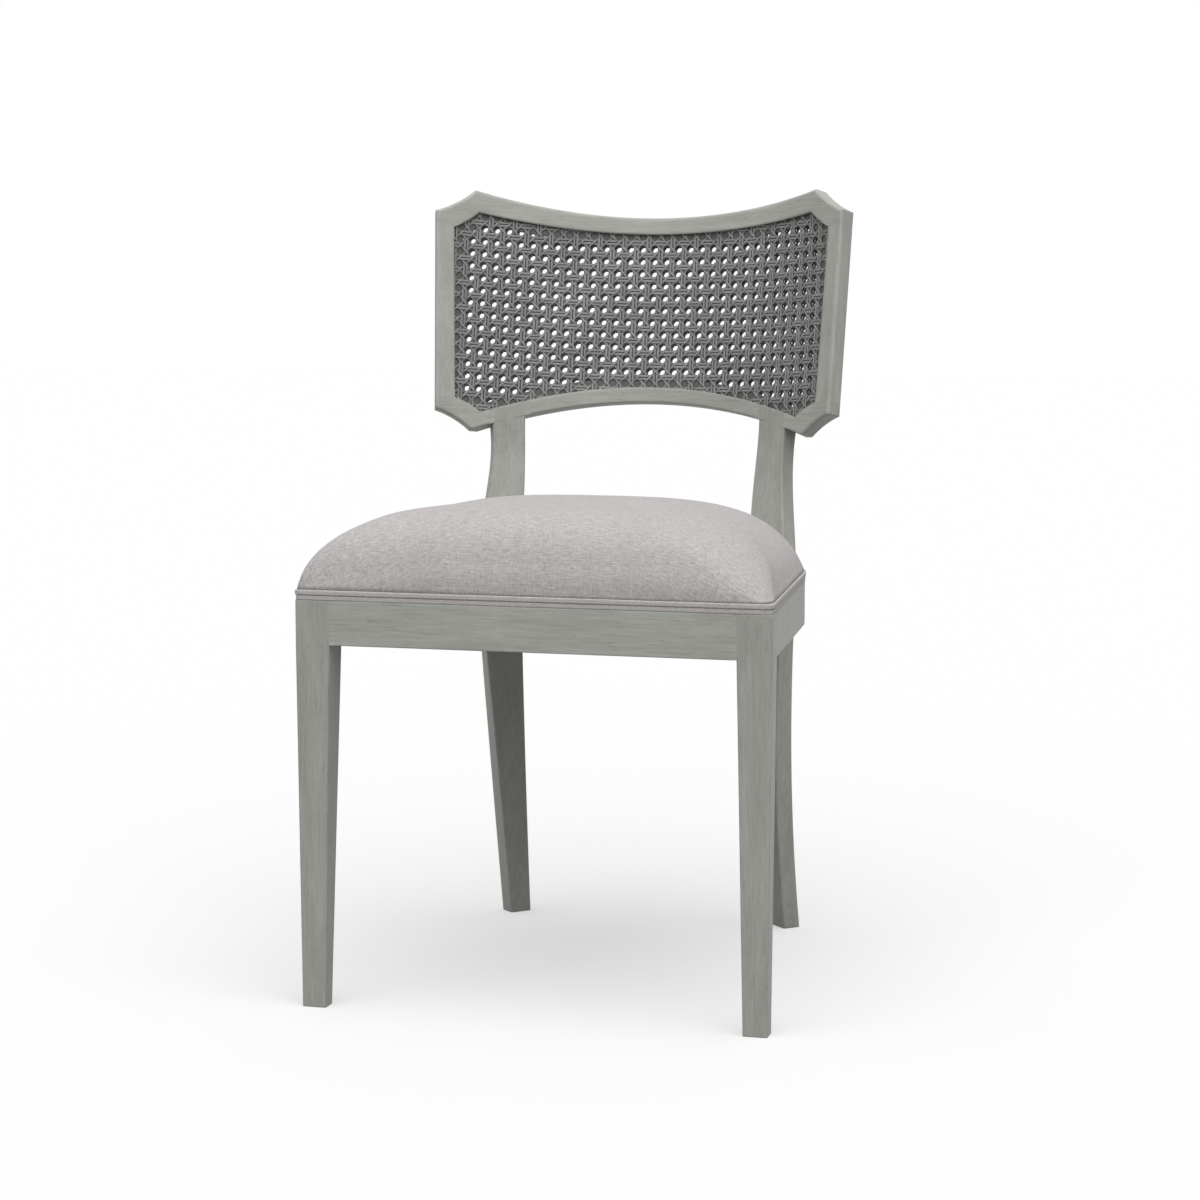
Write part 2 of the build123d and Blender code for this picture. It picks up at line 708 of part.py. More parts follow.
def cane_sheet(radius):
    """A pierced cane sheet bent to the back's curve, one flat facet for each column of holes."""
    outer = radius + CANE_THICKNESS
    step = CANE_PITCH / outer
    side = SIGHT_OUTLINE.side_top[0] + REBATE_WIDTH
    count = ceil(side / BACK_RADIUS / step)
    angles = [(index - 0.5) * step for index in range(-count, count + 2)]
    inner = radius / cos(step / 2)
    section = [(outer * sin(angle), outer * cos(angle)) for angle in angles]
    section += [(inner * sin(angle), inner * cos(angle)) for angle in reversed(angles)]
    strip = extrude(make_face(Polyline(*section, close=True)), amount=FAR / 2, both=True)
    edge = SIGHT_OUTLINE.grown(REBATE_WIDTH - REBATE_CLEARANCE)
    sheet = (Pos(0, -BACK_RADIUS, 0) * strip) & back_prism(edge)
    punch = Rot(90, 0, 0) * Cylinder(CANE_HOLE_DIAMETER / 2, 4 * CANE_THICKNESS)
    punches = []
    for column in range(-CANE_HALF_COLUMNS, CANE_HALF_COLUMNS + 1):
        turn = Pos(0, -BACK_RADIUS, 0) * Rot(0, 0, -degrees(column * step)) * Pos(0, outer, 0)
        for row in range(-CANE_ROWS_BELOW, CANE_ROWS_ABOVE + 1):
            punches.append(turn * Pos(0, 0, row * CANE_PITCH) * punch)
    return sheet - punches


def cane_spacer():
    """The strip between the two cane sheets, from the rebate to a little inside the opening."""
    ring = back_shell(SPACER_RADIUS, REAR_CANE_RADIUS)
    ring = ring & back_prism(SIGHT_OUTLINE.grown(REBATE_WIDTH - REBATE_CLEARANCE))
    return ring - back_prism(SIGHT_OUTLINE.grown(-SPACER_OVERLAP))


def retaining_beads():
    """The four beads that close the rebate behind the cane."""
    ring = back_shell(BEAD_RADIUS, BACK_OUTER_RADIUS) & back_prism(SIGHT_OUTLINE.grown(REBATE_WIDTH))
    ring = ring - back_prism(SIGHT_OUTLINE)
    beside = beside_opening()
    right = ring & beside & right_half()
    return {
        "cane_bead_top": ring & back_slab(SIGHT_OUTLINE.side_top[1], FAR),
        "cane_bead_bottom": (ring & back_slab(-FAR, 0)) - beside,
        "cane_bead_right": right,
        "cane_bead_left": mirror(right, about=Plane.YZ),
    }


# Rear legs


def turned_section(place, turn, width, depth):
    """A rounded rectangle lying level, its width turned about Z from the X axis."""
    plane = Plane(origin=place, x_dir=(cos(radians(turn)), -sin(radians(turn)), 0), z_dir=(0, 0, 1))
    return plane * RectangleRounded(width, depth, FRAME_CORNER_RADIUS)


def leg_section(share):
    """The leg's section at a share of the height from the floor to the rail's middle."""
    seat = leg_seat().position
    below = 1 - share
    setback = FOOT_SPLAY_BACK * (saber_share * below**2 + (1 - saber_share) * below)
    spread = LEG_BOW_IN * below**2 - (LEG_BOW_IN - FOOT_SPLAY_OUT) * below
    place = (seat.X + spread, seat.Y + setback, RAIL_MIDDLE * share)
    flare = (1 - flare_share) * share + flare_share * share**2
    swell = (1 + swell_share) * share - swell_share * share**2
    turn = leg_direction() - LEG_TWIST + FOOT_TWIST * (1 - flare)
    width = REAR_FOOT_WIDTH + (REAR_LEG_WIDTH - REAR_FOOT_WIDTH) * flare
    depth = REAR_FOOT_DEPTH + (REAR_LEG_DEPTH - REAR_FOOT_DEPTH) * swell
    return turned_section(place, turn, width, depth)


def neck_place(height):
    """The post's middle in the chair's frame, at a height up the back's slope."""
    local = back_place(post_arc(), BACK_RADIUS + BACK_THICKNESS / 2, height)
    return (BACK_PLACE * local).position


def rear_leg(head):
    """The right rear leg: saber leg, post and its share of the back frame in one piece."""
    seat = leg_seat().position
    neck = neck_place(FRAME_OUTLINE.low_tip[1] - POST_NECK_DROP)
    top = neck_place(FRAME_OUTLINE.low_tip[1] + POST_NECK_RISE)
    waist = Vector(
        (seat.X + neck.X) / 2 - POST_BOW_IN,
        seat.Y + (neck.Y - seat.Y) * post_waist_setback_share,
        seat.Z + (neck.Z - seat.Z) * post_waist_height_share,
    )
    depth = BACK_THICKNESS - 2 * POST_FACE_RELIEF
    sections = [leg_section(station / LEG_STATIONS) for station in range(LEG_STATIONS + 1)]
    post_turn = degrees(post_arc() / BACK_RADIUS)
    waist_turn = leg_direction() - LEG_TWIST - WAIST_TWIST
    sections.append(turned_section(waist, waist_turn, POST_WAIST_WIDTH, POST_WAIST_DEPTH))
    sections.append(turned_section(neck, post_turn, POST_WIDTH, depth))
    sections.append(turned_section(top, post_turn, POST_WIDTH, depth))
    shaft = loft(sections) - BACK_PLACE * back_prism(SIGHT_OUTLINE.grown(REBATE_WIDTH))
    pad = leg_seat() * Pos(0, -REAR_LEG_DEPTH / 2, 0) * Box(LEG_PAD_WIDTH, 2 * LEG_PAD_REACH, RAIL_HEIGHT)
    rail_space = seat_prism(0, FRAME_CORNER_RADIUS, RAIL_BOTTOM, RAIL_TOP)
    proud = UPPER_WELT_INSET - WELT_DIAMETER / 2 - WELT_CLEARANCE
    welt_space = seat_prism(proud, FRAME_CORNER_RADIUS, RAIL_TOP, SEAM_HEIGHT + WELT_CLEARANCE)
    return (shaft + pad) - rail_space - welt_space + BACK_PLACE * head


def build():
    """Every piece of the chair by name, in the layout frame."""
    nodes = {}

    ring = seat_ring()
    leg = front_leg()
    both_legs = [leg, mirror(leg, about=Plane.YZ)]
    blank = back_blank()
    sight = SIGHT_OUTLINE
    beside = beside_opening()
    lower = (blank & back_slab(-FAR, 0)) - beside
    head = lower & post_space()
    saber = rear_leg(head)
    posts = [saber, mirror(saber, about=Plane.YZ)]

    dowels = frame_dowels()
    corner_screws = block_screws()
    bolts = leg_bolts()
    pad_screws = deck_screws()
    pegs = back_dowels()

    right_pieces = {
        "front_leg": leg - dowels - corner_screws,
        "rear_leg": saber - bolts - pegs,
        "side_rail": side_rail(ring) - dowels - bolts,
        "front_corner_block": front_block(ring, leg) - corner_screws - pad_screws,
        "rear_corner_block": rear_block() - bolts - pad_screws,
        "back_stile": BACK_PLACE * (blank & beside & right_half()) - pegs,
        "back_ear": BACK_PLACE * (lower & outside_post()) - posts - pegs,
    }
    for name, piece in right_pieces.items():
        nodes[name + "_right"] = piece
        nodes[name + "_left"] = mirror(piece, about=Plane.YZ)

    nodes["front_rail"] = front_rail() - dowels
    nodes["rear_rail"] = rear_rail(ring) - bolts
    outer = outside_post()
    spaces = post_space()
    arch = lower - outer - mirror(outer, about=Plane.YZ) - spaces - mirror(spaces, about=Plane.YZ)
    nodes["crest_rail"] = BACK_PLACE * (blank & back_slab(sight.side_top[1], FAR)) - pegs
    nodes["back_arch_rail"] = BACK_PLACE * arch - posts - pegs

    nodes["cane_front"] = BACK_PLACE * cane_sheet(FRONT_CANE_RADIUS)
    nodes["cane_rear"] = BACK_PLACE * cane_sheet(REAR_CANE_RADIUS)
    nodes["cane_spacer"] = BACK_PLACE * cane_spacer()
    for name, bead in retaining_beads().items():
        nodes[name] = BACK_PLACE * bead

    foam = seat_foam()
    deck = seat_deck()
    nodes["seat_foam"] = foam
    nodes["seat_cover"] = seat_cover(foam, deck) - pad_screws
    nodes["seat_deck"] = deck - pad_screws
    nodes["welt_lower"] = welt(LOWER_WELT_INSET, RAIL_TOP + WELT_DIAMETER / 2)
    nodes["welt_upper"] = welt(UPPER_WELT_INSET, RAIL_TOP + WELT_DIAMETER * 3 / 2)
    nodes["dust_cover"] = dust_cover(both_legs) - pad_screws

    groups = {
        "seat_frame_dowels": dowels,
        "corner_block_screws": corner_screws,
        "rear_leg_bolts": bolts,
        "deck_screws": pad_screws,
        "back_frame_dowels": pegs,
    }
    for name, pieces in groups.items():
        nodes[name] = Compound(children=[piece.solid() for piece in pieces])
    return nodes


def main():
    """Centre the chair over its footprint and write one file for each piece."""
    nodes = build()
    boxes = [piece.bounding_box() for piece in nodes.values()]
    front = min(box.min.Y for box in boxes)
    rear = max(box.max.Y for box in boxes)
    shift = Pos(0, -(front + rear) / 2, 0)
    os.makedirs("parts", exist_ok=True)
    for name, piece in nodes.items():
        export_step(shift * piece, f"parts/{name}.step")
    print("pieces:", len(nodes), "front:", round(front, 3), "rear:", round(rear, 3))


main()
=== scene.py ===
import json
import logging
import math
from collections.abc import Sequence
from dataclasses import dataclass, field, replace
from enum import Enum
from functools import cache

import bpy
import numpy as np
from mathutils import Matrix, Vector

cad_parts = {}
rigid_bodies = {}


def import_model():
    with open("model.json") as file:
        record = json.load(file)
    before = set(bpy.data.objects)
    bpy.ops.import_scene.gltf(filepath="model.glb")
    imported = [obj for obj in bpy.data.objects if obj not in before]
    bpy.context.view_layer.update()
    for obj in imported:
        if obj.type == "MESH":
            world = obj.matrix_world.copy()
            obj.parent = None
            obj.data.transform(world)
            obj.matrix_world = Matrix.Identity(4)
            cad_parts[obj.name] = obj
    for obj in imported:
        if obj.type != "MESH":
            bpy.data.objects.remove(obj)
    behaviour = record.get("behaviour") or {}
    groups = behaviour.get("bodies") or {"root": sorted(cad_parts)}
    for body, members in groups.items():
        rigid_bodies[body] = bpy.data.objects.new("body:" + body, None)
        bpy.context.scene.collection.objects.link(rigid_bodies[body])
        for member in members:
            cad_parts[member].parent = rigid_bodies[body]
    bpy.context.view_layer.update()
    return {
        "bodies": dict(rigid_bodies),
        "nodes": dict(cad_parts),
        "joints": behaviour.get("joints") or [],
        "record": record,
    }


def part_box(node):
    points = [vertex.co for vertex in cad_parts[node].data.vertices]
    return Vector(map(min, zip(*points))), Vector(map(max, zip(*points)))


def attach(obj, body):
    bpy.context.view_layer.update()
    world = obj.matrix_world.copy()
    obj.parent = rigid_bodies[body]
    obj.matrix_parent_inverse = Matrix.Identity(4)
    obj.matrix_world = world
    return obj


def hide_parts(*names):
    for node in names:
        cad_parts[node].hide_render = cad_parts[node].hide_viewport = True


# Dining chair with a curved cane back, a crowned seat with a double welt, and saber rear legs.
# Metres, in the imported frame: +Z up, +X to the right and +Y to the back, seen from the front.

log = logging.getLogger("cane_back_chair")

Pair = tuple[float, float]
Triple = tuple[float, float, float]
Quad = tuple[float, float, float, float]
Faces = list[tuple[int, ...]]

WHITE = (1.0, 1.0, 1.0, 1.0)
DIAGONAL = 0.7071
BACK_RADIUS = 0.342
BACK_HALF_ARC = 0.2595
END_TURN_SHARE = 0.43
# Painted shade: the heights between which wood's colour goes from its low to its high painted shade
# factor.
PAINTED_SHADE_HEIGHTS = (0.4, 0.52)
MIDDLE = 0.5  # of a noise's range, and of the range of each island's own value


def rgba(colour: Triple) -> Quad:
    """The colour with full opacity."""
    return (*colour, 1.0)


@cache
def seat_front_y() -> float:
    """Y of the seat's front face, where the seat's outline starts."""
    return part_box("front_rail")[0].y


# Shader helpers


class Value:
    """An output in a node tree. Sums and products with it add Math nodes."""

    def __init__(self, wiring: "Wiring", socket: bpy.types.NodeSocket) -> None:
        """Keep the output and the wiring that it is part of."""
        self.wiring, self.socket = wiring, socket

    def __add__(self, other: object) -> "Value":
        """The sum."""
        return self.wiring.math("ADD", self, other)

    def __sub__(self, other: object) -> "Value":
        """The difference."""
        return self.wiring.math("SUBTRACT", self, other)

    def __rsub__(self, other: object) -> "Value":
        """The difference from a plain number."""
        return self.wiring.math("SUBTRACT", other, self)

    def __mul__(self, other: object) -> "Value":
        """The product."""
        return self.wiring.math("MULTIPLY", self, other)

    def __abs__(self) -> "Value":
        """The value without its sign."""
        return self.wiring.math("ABSOLUTE", self)


@dataclass(frozen=True)
class Noise:
    """One layer of noise: its scale along each axis, its detail and its roughness."""

    scale: Triple
    detail: float
    rough: float = 0.55


def even_noise(scale: float, detail: float, rough: float = 0.55) -> Noise:
    """A layer of noise with one scale for all axes."""
    return Noise((scale, scale, scale), detail, rough)


class Wiring:
    """Adds nodes to one node tree and feeds their inputs."""

    def __init__(self, tree: bpy.types.NodeTree) -> None:
        """Work on a node tree."""
        self.tree = tree

    def feed(self, socket: bpy.types.NodeSocket, value: object) -> None:
        """Give an input a plain value, or link another node's output to it.

        Args:
            socket: The input.
            value: The value or the output.
        """
        if isinstance(value, Value):
            self.tree.links.new(value.socket, socket)
        else:
            socket.default_value = value

    def add(self, kind: str, feeds: dict | None = None, **settings: object) -> dict[str, Value]:
        """Add a node.

        Args:
            kind: The node's type.
            feeds: What each input, by name or number, gets.
            settings: The node's own options.

        Returns:
            The new node's outputs, by name and by number.
        """
        node = self.tree.nodes.new(kind)
        for name, value in settings.items():
            setattr(node, name, value)
        for key, value in (feeds or {}).items():
            self.feed(node.inputs[key], value)
        outputs = [Value(self, socket) for socket in node.outputs]
        named = {value.socket.name: value for value in reversed(outputs)}
        return {**named, **dict(enumerate(outputs))}

    def math(self, operation: str, *values: object) -> Value:
        """Add a Math node and return its output."""
        return self.add("ShaderNodeMath", dict(enumerate(values)), operation=operation)[0]

    def vector(self, operation: str, *values: object) -> Value:
        """Add a Vector Math node and return its vector output."""
        feeds = dict(enumerate(values))
        return self.add("ShaderNodeVectorMath", feeds, operation=operation)["Vector"]

    def noise(self, place: Value, layer: Noise) -> Value:
        """Add a layer of noise and return its value."""
        feeds = {"Vector": self.vector("MULTIPLY", place, layer.scale), "Scale": 1.0,
                 "Detail": layer.detail, "Roughness": layer.rough}
        return self.add("ShaderNodeTexNoise", feeds)["Fac"]

    def between(
        self, value: Value, low: float, high: float, start: float = 0.0, end: float = 1.0
    ) -> Value:
        """Map a value smoothly from one range to another.

        Args:
            value: The value to map.
            low: Where the first range starts.
            high: Where the first range ends.
            start: What the first range's start becomes.
            end: What the first range's end becomes.

        Returns:
            The mapped value.
        """
        feeds = {"Value": value, "From Min": low, "From Max": high, "To Min": start, "To Max": end}
        return self.add("ShaderNodeMapRange", feeds, interpolation_type="SMOOTHSTEP")["Result"]

    def blend(self, factor: Value, first: object, second: object) -> Value:
        """Mix two colours and return the result."""
        return self.add("ShaderNodeMix", {0: factor, 6: first, 7: second}, data_type="RGBA")[2]

    def split(self, place: Value) -> tuple[Value, Value, Value]:
        """Return a vector's three parts."""
        parts = self.add("ShaderNodeSeparateXYZ", {0: place})
        return parts[0], parts[1], parts[2]

    def join(self, *parts: object) -> Value:
        """Return a vector made of three parts."""
        return self.add("ShaderNodeCombineXYZ", dict(enumerate(parts)))[0]

    def shade(self, colour: object, factor: Value) -> Value:
        """Return a colour made lighter or darker by a factor."""
        feeds = {0: colour, "Scale": factor}
        return self.add("ShaderNodeVectorMath", feeds, operation="SCALE")["Vector"]


class Surface(Wiring):
    """The wiring of a new material, from the place on the chair to the Principled node."""

    def __init__(self, name: str) -> None:
        """Start a material of that name."""
        self.material = bpy.data.materials.new(name)
        self.material.use_nodes = True
        super().__init__(self.material.node_tree)
        self.place = self.add("ShaderNodeTexCoord")["Object"]

    def bump(self, height: Value, distance: float, **feeds: object) -> Value:
        """Return a normal bent by a height in units of a distance."""
        feeds |= {"Height": height, "Distance": distance, "Strength": 1.0}
        return self.add("ShaderNodeBump", feeds)[0]

    def finish(self, feeds: dict[str, object]) -> bpy.types.Material:
        """Feed the Principled node and return the material.

        Args:
            feeds: What each input, by name, gets.

        Returns:
            The material.
        """
        inputs = self.tree.nodes["Principled BSDF"].inputs
        for name, value in feeds.items():
            self.feed(inputs[name], value)
        return self.material


class Effect:
    """A shader node group that several finishes use. It is built at its first use."""

    built: dict[str, bpy.types.NodeTree] = {}
    title = "effect"
    inlets: tuple[tuple[str, str, object], ...] = ()
    outlets: tuple[tuple[str, str], ...] = ()

    def lay(self, wiring: Wiring, inlets: dict[str, Value]) -> dict[str, Value]:
        """Lay the group's nodes and return what each outlet gets."""
        raise NotImplementedError

    def tree(self) -> bpy.types.NodeTree:
        """Return the group, building it the first time.

        Returns:
            The group.
        """
        if self.title not in Effect.built:
            group = bpy.data.node_groups.new(self.title, "ShaderNodeTree")
            for name, kind, value in self.inlets:
                kind = "NodeSocket" + kind
                socket = group.interface.new_socket(name, in_out="INPUT", socket_type=kind)
                socket.default_value = value
            for name, kind in self.outlets:
                kind = "NodeSocket" + kind
                group.interface.new_socket(name, in_out="OUTPUT", socket_type=kind)
            wiring = Wiring(group)
            wiring.add("NodeGroupOutput", self.lay(wiring, wiring.add("NodeGroupInput")))
            Effect.built[self.title] = group
        return Effect.built[self.title]

    def placed(self, wiring: Wiring, **feeds: object) -> dict[str, Value]:
        """Place the group in a material and return its outlets.

        Args:
            wiring: The material's wiring.
            feeds: What each inlet gets.

        Returns:
            The outlets by name.
        """
        group = wiring.tree.nodes.new("ShaderNodeGroup")
        group.node_tree = self.tree()
        for name, value in feeds.items():
            wiring.feed(group.inputs[name], value)
        return {socket.name: Value(wiring, socket) for socket in group.outputs}


PLACE_INLET = ("Place", "Vector", (0.0, 0.0, 0.0))


class GrainEffect(Effect):
    """Wood grain that runs along Z of its place: long mottling, fibres and short open pores."""

    title = "wood_grain"
    inlets = (PLACE_INLET, ("Tone", "Color", (0.5, 0.5, 0.5, 1.0)), ("Contrast", "Float", 1.0))
    outlets = (("Color", "Color"), ("Height", "Float"), ("Roughness", "Float"))
    waver, waver_reach = Noise((18.0, 18.0, 3.0), 2.0), 0.006
    mottle, mottle_depth = Noise((60.0, 60.0, 9.0), 3.0), 0.34
    fibre, fibre_depth, fibre_height = Noise((420.0, 420.0, 26.0), 3.0, 0.6), 0.4, 0.6
    pore, pore_depth, pore_edge = Noise((1100.0, 1100.0, 75.0), 2.0, 0.5), 0.16, (0.36, 0.28)
    gloss_change, gloss_start = 0.2, 0.42

    def lay(self, wiring: Wiring, inlets: dict[str, Value]) -> dict[str, Value]:
        """Lay three sizes of stretched noise and mix them into a shade.

        Args:
            wiring: The group's wiring.
            inlets: What comes into the group, by name.

        Returns:
            What each outlet gets.
        """
        waver = wiring.noise(inlets["Place"], self.waver) * self.waver_reach
        bent = wiring.vector("ADD", inlets["Place"], wiring.join(waver, waver, 0.0))
        mottle = wiring.noise(bent, self.mottle)
        fibre = wiring.noise(bent, self.fibre)
        pits = wiring.between(wiring.noise(bent, self.pore), *self.pore_edge)
        tone = (mottle - MIDDLE) * self.mottle_depth + (fibre - MIDDLE) * self.fibre_depth
        tone = (tone - pits * self.pore_depth) * inlets["Contrast"] + 1.0
        return {
            "Color": wiring.shade(inlets["Tone"], tone),
            "Height": fibre * self.fibre_height - pits,
            "Roughness": mottle * self.gloss_change + self.gloss_start,
        }


class EdgeEffect(Effect):
    """Softened edges, and a broken mask of where hands and feet have rubbed them."""

    title = "soft_edges"
    inlets = (
        PLACE_INLET, ("Softness", "Float", 0.002), ("Rub", "Float", 0.5), ("Open", "Float", 1.0),
    )
    outlets = (("Normal", "Vector"), ("Worn", "Float"))
    worn_width = 0.0009
    bent_away = (0.97, 0.8)
    patch = even_noise(24.0, 4.0, 0.7)
    fine, fine_share = even_noise(300.0, 3.0, 0.7), 0.45
    worn_from = (0.84, 0.98)

    def lay(self, wiring: Wiring, inlets: dict[str, Value]) -> dict[str, Value]:
        """Compare the surface with its rounded self, and break the result with noise.

        Args:
            wiring: The group's wiring.
            inlets: What comes into the group, by name.

        Returns:
            What each outlet gets.
        """
        softness = inlets["Softness"] * inlets["Open"]
        rounded = wiring.add("ShaderNodeBevel", {"Radius": softness}, samples=6)[0]
        narrow = wiring.add("ShaderNodeBevel", {"Radius": self.worn_width}, samples=4)[0]
        flat = wiring.add("ShaderNodeNewGeometry")["Normal"]
        feeds = {0: narrow, 1: flat}
        match = wiring.add("ShaderNodeVectorMath", feeds, operation="DOT_PRODUCT")["Value"]
        edge = wiring.between(match, *self.bent_away)
        fine = wiring.noise(inlets["Place"], self.fine) * self.fine_share
        patch = wiring.between(fine + wiring.noise(inlets["Place"], self.patch), *self.worn_from)
        return {"Normal": rounded, "Worn": edge * patch * inlets["Rub"] * inlets["Open"]}


class MottleEffect(Effect):
    """Slow and fine unevenness of tone, as from handling and dust."""

    title = "mottling"
    inlets = (PLACE_INLET, ("Depth", "Float", 0.1))
    outlets = (("Shade", "Float"),)
    slow = even_noise(14.0, 2.0)
    fine, fine_share = even_noise(160.0, 3.0), 0.5
    middle = 0.75

    def lay(self, wiring: Wiring, inlets: dict[str, Value]) -> dict[str, Value]:
        """Lay a slow and a fine noise and add them about 1.

        Args:
            wiring: The group's wiring.
            inlets: What comes into the group, by name.

        Returns:
            What each outlet gets.
        """
        fine = wiring.noise(inlets["Place"], self.fine) * self.fine_share
        both = fine + wiring.noise(inlets["Place"], self.slow)
        return {"Shade": (both - self.middle) * inlets["Depth"] + 1.0}


class WeaveEffect(Effect):
    """A plain weave with slubs. X of its place runs across the cloth, Y along it."""

    title = "plain_weave"
    inlets = (PLACE_INLET, ("Thread", "Float", 0.0011), ("Slub", "Float", 1.0))
    outlets = (("Shade", "Float"), ("Height", "Float"))
    wander, wander_reach = even_noise(90.0, 2.0), 0.0012
    crossing = (-0.25, 0.25)
    slub, slub_share = Noise((95.0, 520.0, 1.0), 3.0, 0.65), 0.5
    fleck, fleck_share, fleck_layer = Noise((560.0, 150.0, 1.0), 3.0, 0.65), 0.28, 3.7
    grit, grit_share = Noise((520.0, 420.0, 420.0), 2.0, 0.6), 0.22
    thread_shade, lowest_shade = 0.14, 0.91
    uneven_shade, uneven_height = 2.2, 0.8

    def lay(self, wiring: Wiring, inlets: dict[str, Value]) -> dict[str, Value]:
        """Cross two sets of rounded threads, and thicken some of the crosswise ones.

        Args:
            wiring: The group's wiring.
            inlets: What comes into the group, by name.

        Returns:
            What each outlet gets.
        """
        shift = (wiring.noise(inlets["Place"], self.wander) - MIDDLE) * self.wander_reach
        across, along = (part + shift for part in wiring.split(inlets["Place"])[:2])
        turn = wiring.math("DIVIDE", math.pi, inlets["Thread"])
        angles = (across * turn, along * turn)
        warp, weft = (abs(wiring.math("SINE", angle)) for angle in angles)
        over, under = (wiring.math("COSINE", angle) for angle in angles)
        pick = wiring.between(over * under, *self.crossing)
        height = warp * pick + weft * (1.0 - pick)
        slub = wiring.noise(wiring.join(across, along, 0.0), self.slub)
        fleck = wiring.noise(wiring.join(across, along, self.fleck_layer), self.fleck)
        grit = wiring.noise(inlets["Place"], self.grit)
        uneven = slub * self.slub_share + fleck * self.fleck_share + grit * self.grit_share
        uneven = (uneven - MIDDLE) * inlets["Slub"]
        # Partly painted shade: the low places between threads are darker; the slubs, flecks and
        # grit are the cloth's own tone.
        shade = height * self.thread_shade + self.lowest_shade + uneven * self.uneven_shade
        return {"Shade": shade, "Height": uneven * self.uneven_height + height}


# Finishes


class Grain(Enum):
    """Which way the grain runs in a wooden piece."""

    UPRIGHT = "upright"
    ACROSS = "across"
    DEPTH = "depth"
    CURVED = "curved"


@dataclass(frozen=True)
class BackCurve:
    """The leaning cylinder that the back frame and its cane follow."""

    radius: float = BACK_RADIUS
    lean: float = math.radians(9.57)
    overhang: float = 0.4974
    height: float = 0.6829

    def origin(self) -> Vector:
        """The middle of the back's front face."""
        return Vector((0.0, seat_front_y() + self.overhang, self.height))

    def places(self, angle: np.ndarray, radius: np.ndarray, up: np.ndarray) -> np.ndarray:
        """Put points of the curve in the chair's frame.

        Args:
            angle: Angles from the middle, in radians, to the right.
            radius: Distances from the curve's axis.
            up: Heights up the slope.

        Returns:
            The points, one row each.
        """
        x = radius * np.sin(angle)
        y = radius * np.cos(angle) - self.radius
        cos, sin = math.cos(self.lean), math.sin(self.lean)
        start = self.origin()
        spots = [x + start.x, y * cos + up * sin + start.y, up * cos - y * sin + start.z]
        return np.stack(spots, -1)

    def along(self, surface: Surface) -> Value:
        """Return a place whose Z runs along the curve, for the grain of a bent rail.

        Args:
            surface: The material's wiring.

        Returns:
            Height up the slope, distance from the axis and distance along the curve.
        """
        local = surface.vector("SUBTRACT", surface.place, tuple(self.origin()))
        feeds = {"Vector": local, "Angle": self.lean}
        turned = surface.add("ShaderNodeVectorRotate", feeds, rotation_type="X_AXIS")[0]
        x, y, z = surface.split(turned)
        deep = y + self.radius
        angle = surface.math("ARCTAN2", x, deep)
        return surface.join(z, surface.math("SQRT", x * x + deep * deep), angle * self.radius)


@dataclass(frozen=True)
class Seam:
    """A flush joint that the paint hides: a plane, and its range along another direction.

    Directions are given as numbers of a place's three parts.
    """

    direction: int
    at: float
    other: int
    low: float
    high: float
    reach: float = 0.006
    full_share: float = 0.7
    end_reach: float = 0.001

    def open(self, wiring: Wiring, parts: tuple[Value, Value, Value]) -> Value:
        """Return 0 beside the joint and 1 away from it.

        Args:
            wiring: The material's wiring.
            parts: The place's three parts, the one to the side without its sign.

        Returns:
            The mask.
        """
        gap = abs(parts[self.direction] - self.at)
        near = wiring.between(gap, self.reach, self.reach * self.full_share)
        start = wiring.between(parts[self.other], self.low - self.end_reach, self.low)
        end = wiring.between(parts[self.other], self.high + self.end_reach, self.high)
        return 1.0 - near * (start * end)


BACK_SEAMS = (
    Seam(2, 0.1120, 0, 0.19, 0.30),
    Seam(2, -0.0828, 0, 0.19, 0.30),
    Seam(0, 0.1400, 2, -0.14, -0.05),
    Seam(0, 0.1770, 2, -0.14, -0.05),
)
SEAT_SEAMS = (
    Seam(0, 0.2132, 2, 0.379, 0.43),
    Seam(1, -0.2308, 2, 0.379, 0.43),
)


